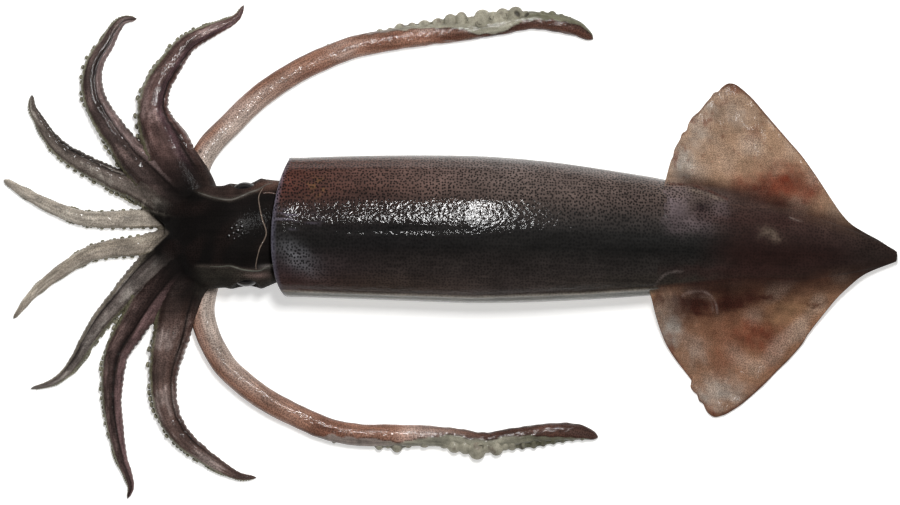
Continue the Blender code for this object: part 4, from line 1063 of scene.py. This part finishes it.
def armSuckers():
    # two rows under each arm: one along its outer edge, one on its belly; the pale arms have a row on each edge
    places, facings, sizes, tints = [], [], [], []
    for name, arm in arms.items():
        path, width = armPaths[name]
        sideways, upward = limbFrames(path)
        run = np.concatenate([[0], np.cumsum(np.linalg.norm(np.diff(path, axis=0), axis=1))])
        starts = 0.3 * run[-1] if arm["side"] else 0.2 * run[-1]
        at = [starts]
        while at[-1] < 0.97 * run[-1]:
            at.append(at[-1] + max(0.42 * np.interp(at[-1], run, width), 1.1))
        at = np.array(at)
        spot = np.stack([np.interp(at, run, path[:, k]) for k in range(3)], axis=1)
        out = np.stack([np.interp(at, run, sideways[:, k]) for k in range(3)], axis=1)
        rise = np.stack([np.interp(at, run, upward[:, k]) for k in range(3)], axis=1)
        w = np.interp(at, run, width)[:, None]
        rowsOf = [(arm["side"], 0.97, -0.26, 1.0), (arm["side"], 0.45, -0.6, 1.0)]
        if not arm["side"]:
            rowsOf = [(1, 0.9, -0.3, 1.0), (-1, 0.9, -0.3, 1.0)]
        for side, far, low, scale in rowsOf:
            jitter = 1 + 0.1 * np.sin(at * 5.1 + far * 9)[:, None]
            places.append(spot + w * (side * far * out * jitter + low * rise))
            facings.append(side * out * far * 1.1 + rise * low * 1.4)
            sizes.append(np.clip(0.22 * w[:, 0] * scale * jitter[:, 0], 0.35, 1.4))
            tints.append(np.full(len(at), 0.45 if arm["side"] else 0.3))
    makeSuckers("armSuckers", np.vstack(places), np.vstack(facings), np.concatenate(sizes), np.concatenate(tints))


clubCups = {
    # x, outermost y and radius of each cup along the outer edge; then x, y and radius of those that face up
    "tentacleRight": dict(
        edge=[(-55.4, 95, 1.1), (-50, 96.4, 1.2), (-44.1, 98.2, 1.2), (-38.6, 99.5, 1.3), (-31.8, 101.6, 1.7),
              (-27.2, 102.2, 1.4), (-22.7, 104.1, 2.2), (-17.2, 104.5, 1.9), (-11.6, 105.6, 2.6), (-5.4, 106.5, 2.5),
              (0.2, 108.4, 2.5), (5.2, 109.3, 2.1), (10, 107.3, 2.3), (14.8, 110.4, 3.4), (19.6, 109.5, 2.4),
              (23.9, 111, 2.6), (29.8, 111.7, 3.0), (34.4, 109.8, 2.2), (38.4, 108.5, 1.5), (42, 109.8, 1.6),
              (46.4, 109.8, 1.6), (50.5, 108.5, 1.4), (54.2, 107.2, 1.3), (57.8, 105.4, 1.2), (60.8, 102.7, 1.1)],
        face=[(8.2, 105, 1.5), (13.2, 103.6, 2.2), (16.8, 100.9, 1.9), (18.6, 105.9, 2.1), (21.4, 104.2, 2.3),
              (21.8, 100.9, 1.7), (25, 107.2, 2.0), (28.4, 104.7, 2.0), (31.9, 105.9, 1.3), (36.4, 106.5, 1.2),
              (41, 105.9, 1.2), (45.5, 105.4, 1.1), (50, 104.5, 1.0), (54.6, 103.1, 0.9)]),
    "tentacleLeft": dict(
        edge=[(-61.8, -83.5, 1.1), (-58, -84.6, 1.1), (-52.7, -86.8, 1.0), (-47.2, -85.9, 1.1), (-42.2, -86.8, 1.1),
              (-37.7, -87.5, 1.2), (-32.2, -89.8, 1.7), (-28.1, -89.1, 1.5), (-24.1, -90.9, 2.1), (-19, -88.9, 1.7),
              (-15.4, -88, 2.0), (-11.6, -88.7, 2.6), (-6.8, -87.8, 2.5), (-2.5, -89.1, 2.4), (2, -91.1, 2.8),
              (7.1, -91.7, 2.7), (12.3, -94.1, 3.3), (16.9, -91.1, 2.2), (21.1, -92.3, 2.6), (25, -90, 2.0),
              (28.2, -90, 1.8), (32.8, -89.6, 1.4), (38, -89.1, 1.3), (42.3, -88.2, 1.3), (46.9, -87.3, 1.3),
              (51.1, -86.6, 1.2), (55.5, -85.9, 1.1), (60, -85.5, 1.0), (64, -85, 0.9)],
        face=[(-9, -83.2, 2.3), (-4.5, -82.3, 2.0), (-0.9, -85.9, 2.2), (4.1, -85.5, 2.3), (9.1, -86.8, 2.4),
              (13.7, -87.8, 2.2), (18.7, -86.8, 2.1), (23.7, -85.9, 1.9), (27.8, -85, 1.8), (31.9, -85.5, 1.2),
              (36.4, -85.3, 1.1), (41, -85, 1.1), (46, -84.4, 1.0), (51, -83.7, 0.9)]),
}


def padOutline(name, x):
    # how far the pad reaches outward at each x, the radius of the lobe there, and where it is rooted in the club
    way = np.sign(clubCups[name]["edge"][0][1])
    centreX, edgeY, radius = (np.array(c)[:, None] for c in zip(*clubCups[name]["edge"]))
    swell = np.sqrt(np.clip(1 - ((x[None, :] - centreX) / (1.12 * radius)) ** 2, 0, 1))
    route = smoothPath(tentacles[name]["route"], 200)
    order = np.argsort(route[:, 0])
    root = way * np.interp(x, route[order, 0], route[order, 1])
    lobes = way * edgeY - radius + radius * swell
    lobe = (radius * swell).max(axis=0)
    between = np.interp(x, centreX[:, 0], (way * edgeY - 0.5 * radius)[:, 0])
    outer = np.maximum(np.maximum(np.where(swell > 0, lobes, -1e9).max(axis=0), between), root + 2.4)
    return way, outer, lobe, root


def makePad(name, seed):
    # soft flesh with one lobe per cup: a half oval from the club outward, its reach and height swelling at each lobe
    rows, sides = 640, 36
    edges = np.array(clubCups[name]["edge"])
    x = np.linspace(edges[0, 0] - 1, edges[-1, 0] + 1, rows)
    way, outer, lobe, root = padOutline(name, x)
    ease = np.convolve(np.pad(outer, 2, "edge"), np.ones(5) / 5, "valid")
    ends = np.sqrt(np.clip(np.minimum(x - x[0], x[-1] - x) / 2.5, 0, 1))
    middle = 0.5 * (ease + root - 0.6)
    half = np.maximum(0.5 * (ease - root + 0.6) * ends, 0.05)
    tall = (1.5 + 0.6 * np.convolve(np.pad(lobe, 2, "edge"), np.ones(5) / 5, "valid")) * ends + 0.1
    turn = np.linspace(0, 2 * pi, sides, endpoint=False)[None, :]
    w = middle[:, None] + half[:, None] * np.cos(turn)
    z = tall[:, None] * (1 + 0.97 * np.sin(turn)) + 0.05
    grid = np.stack([x[:, None] + 0 * turn, way * w, z], axis=-1)
    uneven = softNoise(grid, 4.5, seed)
    grid[..., 2] = np.maximum(grid[..., 2] + 0.22 * uneven * ends[:, None], 0.05)
    points, faces = gridSkin(grid)
    s = tentacleShape
    # painted shade: the pad takes the dark gap colour between its lobes and its pale tone on their crests
    crest = smoothStep(lobe[:, None] / np.maximum(edges[:, 2].max() * 0.6, 1), 0.2, 0.9) + 0 * turn
    tone = mixed(toLinear(suckerShape["gap"]) + 0 * grid, toLinear(suckerShape["pale"]), 0.35 + 0.65 * crest)
    tone = mixed(tone, toLinear(s["green"]), smoothStep(grid[..., 0], 24, 42) * 0.75)
    stain = smoothStep(softNoise(grid, 6, seed + 3), 0.35, 0.9)
    tone = mixed(tone, toLinear("#5b4a42"), 0.5 * stain)
    tone = mixed(tone, toLinear("#33322a"), 0.8 * stain * smoothStep(grid[..., 0], 18, 30))
    tone = tone * (1 + 0.16 * np.clip(softNoise(grid, 3, seed + 2), -1, 1))[..., None]
    piece = newPiece(name.replace("tentacle", "clubPad"), points * mm, faces, "squid", suckerFlesh)
    paint(piece, capped(tone), 0.1)


def clubSuckers():
    # a cup at the end of every lobe, looking outward, and cups on the club's face that look up
    places, facings, sizes, tints = [], [], [], []
    for name, cups in clubCups.items():
        x, y, radius = np.array(cups["edge"]).T
        way = np.sign(y[0])
        places.append(np.column_stack([x, y - way * 0.52 * radius, np.maximum(0.7 * radius, 0.6)]))
        facings.append(np.column_stack([0.2 * np.sin(x), way + 0 * x, -0.15 + 0.2 * np.sin(x * 3)]))
        sizes.append(0.5 * radius)
        tints.append(0.9 - 0.5 * smoothStep(x, 24, 46))
        x, y, radius = np.array(cups["face"]).T
        order = np.linspace(edgesOf(name)[0], edgesOf(name)[1], 640)
        way, outer, lobe, root = padOutline(name, order)
        middle, half = 0.5 * (outer + root - 0.6), 0.5 * (outer - root + 0.6)
        off = (way * y - np.interp(x, order, middle)) / np.interp(x, order, half)
        level = (1.5 + 0.6 * np.interp(x, order, lobe)) * (1 + 0.97 * np.sqrt(np.clip(1 - off ** 2, 0.1, 1)))
        places.append(np.column_stack([x, y, np.maximum(level - 0.25 * radius, 4.2)]))
        facings.append(np.column_stack([0.15 * np.sin(x * 2), way * 0.5 + 0 * x, 1 + 0 * x]))
        sizes.append(0.8 * radius)
        tints.append(0.85 - 0.5 * smoothStep(x, 24, 46))
    makeSuckers("clubSuckers", np.vstack(places), np.vstack(facings), np.concatenate(sizes), np.concatenate(tints), 18)


def edgesOf(name):
    edges = np.array(clubCups[name]["edge"])
    return edges[0, 0] - 1, edges[-1, 0] + 1


armSuckers()
clubSuckers()
for i, name in enumerate(tentacles):
    makePad(name, 120 + 10 * i)
print("suckers done")


# folds and lines on the head
folds = {
    "crest": dict(route=[(-84.3, 29.1), (-86, 25.7), (-86, 22.4), (-84.7, 15.7), (-82.7, 8.5), (-85.7, 1.7),
                         (-87.3, -4.9), (-87.3, -7.6)], width=0.34, tone="#7a6b60"),
    "crestArm": dict(route=[(-84.3, 26.7), (-81.5, 26.9), (-78.3, 26.4)], width=0.35, tone="#7d665c"),
    "lidRight": dict(route=[(-113.7, 27.1), (-106.4, 24.7), (-99, 23.7), (-93.7, 25.4), (-90.3, 26.9),
                            (-86.3, 28.4), (-83, 30.4), (-80, 31.4)], width=0.42, tone="#5f5b55"),
    "lidLeft": dict(route=[(-108, -6.3), (-103, -6.3), (-99, -6), (-93.7, -7.6), (-87, -8.3), (-83, -6.9),
                           (-79, -4.9)], width=0.42, tone="#595850"),
}


def makeFold(name, fold, top):
    # a thin rounded ridge, two thirds sunk in the skin it follows
    rows, sides = 90, 12
    route = smoothPath(fold["route"], rows)
    heights = np.array([top(x, y) for x, y in route[::3]])
    heights = np.interp(np.arange(rows), np.arange(rows)[::3], heights)
    share = np.linspace(0, 1, rows)
    width = fold["width"] * (0.25 + 0.75 * np.sin(pi * np.clip(share, 0.02, 0.98)) ** 0.5)
    turn = np.linspace(0, 2 * pi, sides, endpoint=False)[None, :] + 0 * share[:, None]
    path = np.column_stack([route, heights - 0.5 * width])
    grid = carried(path, np.cos(turn) * width[:, None], np.sin(turn) * width[:, None])
    points, faces = gridSkin(grid)
    piece = newPiece(name, points * mm, faces, "squid", wetLimb)
    paint(piece, toLinear(fold["tone"]) + 0 * points, 0.0)


topSkin = skinFinder([headPiece, bpy.data.objects["fins"], bpy.data.objects["mantle"]])
for foldName, fold in folds.items():
    makeFold(foldName, fold, topSkin)
print("folds done")


# funnel under the neck
funnel = {"sections": [(-69, 10, 11, 3.2, 12), (-75, 9.8, 11, 2.6, 11), (-81.5, 9.2, 10.5, 0.3, 9),
                       (-91, 8.4, 8, 0.2, 8), (-98, 8, 5.9, 0.4, 6.8), (-99.6, 8, 5.2, 0.9, 6.3),
                       (-98.6, 8, 4.3, 1.5, 5.7), (-94, 8, 3.6, 2, 5.2)], "tone": "#948a7d", "inside": "#4b4038"}


def makeFunnel():
    # oval sections that turn inward at the mouth
    table = smoothPath(funnel["sections"], 90)
    turn = np.linspace(0, 2 * pi, 56, endpoint=False)[None, :]
    cx, cy, hw, low, top = (table[:, k:k + 1] for k in range(5))
    grid = np.stack([cx + 0 * turn, cy + hw * np.cos(turn),
                     np.maximum(0.5 * (top + low) + 0.5 * (top - low) * np.sin(turn), 0.06)], axis=-1)
    points, faces = gridSkin(grid)
    inside = smoothStep(np.arange(90.0), 76, 84)[:, None] + 0 * turn
    tone = mixed(toLinear(funnel["tone"]) + 0 * grid, toLinear(funnel["inside"]), inside)
    piece = newPiece("funnel", points * mm, faces, "squid", wetLimb)
    paint(piece, capped(tone), 0.3)


makeFunnel()
print("funnel done")


# table, light and camera
studio = {"table": "#f4f4f2", "keySize": (0.11, 0.3), "keyPlace": (0.06, 0.31, 1.05), "keyPower": 9.5,
          "fillPower": 1.5, "world": 0.08, "tableGlow": 0.5, "cameraHeight": 3.0, "viewWidth": 0.40909}


def makeTable():
    size = 4.0
    corners = np.array([(-size, -size, -0.0006), (size, -size, -0.0006), (size, size, -0.0006), (-size, size, -0.0006)])
    mesh = bpy.data.meshes.new("table")
    mesh.from_pydata(corners.tolist(), [], [(0, 1, 2, 3)])
    table = bpy.data.objects.new("table", mesh)
    bpy.context.scene.collection.objects.link(table)
    material = bpy.data.materials.new("paleTable")
    material.use_nodes = True
    shader = material.node_tree.nodes["Principled BSDF"]
    shader.inputs["Base Color"].default_value = (*toLinear(studio["table"]), 1)
    shader.inputs["Roughness"].default_value = 0.7
    # a faint glow, as a lit white tabletop has from all around
    shader.inputs["Emission Color"].default_value = (1, 1, 1, 1)
    shader.inputs["Emission Strength"].default_value = studio["tableGlow"]
    mesh.materials.append(material)


def areaLight(name, place, size, power, aim=(0, 0, 0)):
    light = bpy.data.lights.new(name, "AREA")
    light.shape = "RECTANGLE"
    light.size, light.size_y = size
    light.energy = power
    lamp = bpy.data.objects.new(name, light)
    bpy.context.scene.collection.objects.link(lamp)
    from mathutils import Vector
    lamp.location = place
    lamp.rotation_euler = (Vector(aim) - Vector(place)).to_track_quat("-Z", "Y").to_euler()


makeTable()
areaLight("keySoftbox", studio["keyPlace"], studio["keySize"], studio["keyPower"])
areaLight("fillLeft", (-1.6, -0.6, 1.3), (1.2, 1.2), studio["fillPower"])
areaLight("fillRight", (1.6, -0.4, 1.3), (1.2, 1.2), studio["fillPower"])
areaLight("fillBack", (0.0, 1.9, 1.1), (1.6, 1.0), studio["fillPower"])
world = bpy.data.worlds.new("softRoom")
world.use_nodes = True
world.node_tree.nodes["Background"].inputs["Color"].default_value = (1, 1, 1, 1)
world.node_tree.nodes["Background"].inputs["Strength"].default_value = studio["world"]
bpy.context.scene.world = world
bpy.context.scene.view_settings.view_transform = "Standard"

camera = bpy.data.cameras.new("camera")
camera.sensor_width = 36.0
camera.lens = 36.0 * studio["cameraHeight"] / studio["viewWidth"]
camera.clip_end = 20
cameraObject = bpy.data.objects.new("camera", camera)
cameraObject.location = (0, 0, studio["cameraHeight"])
bpy.context.scene.collection.objects.link(cameraObject)
bpy.context.scene.camera = cameraObject
print("studio ready")
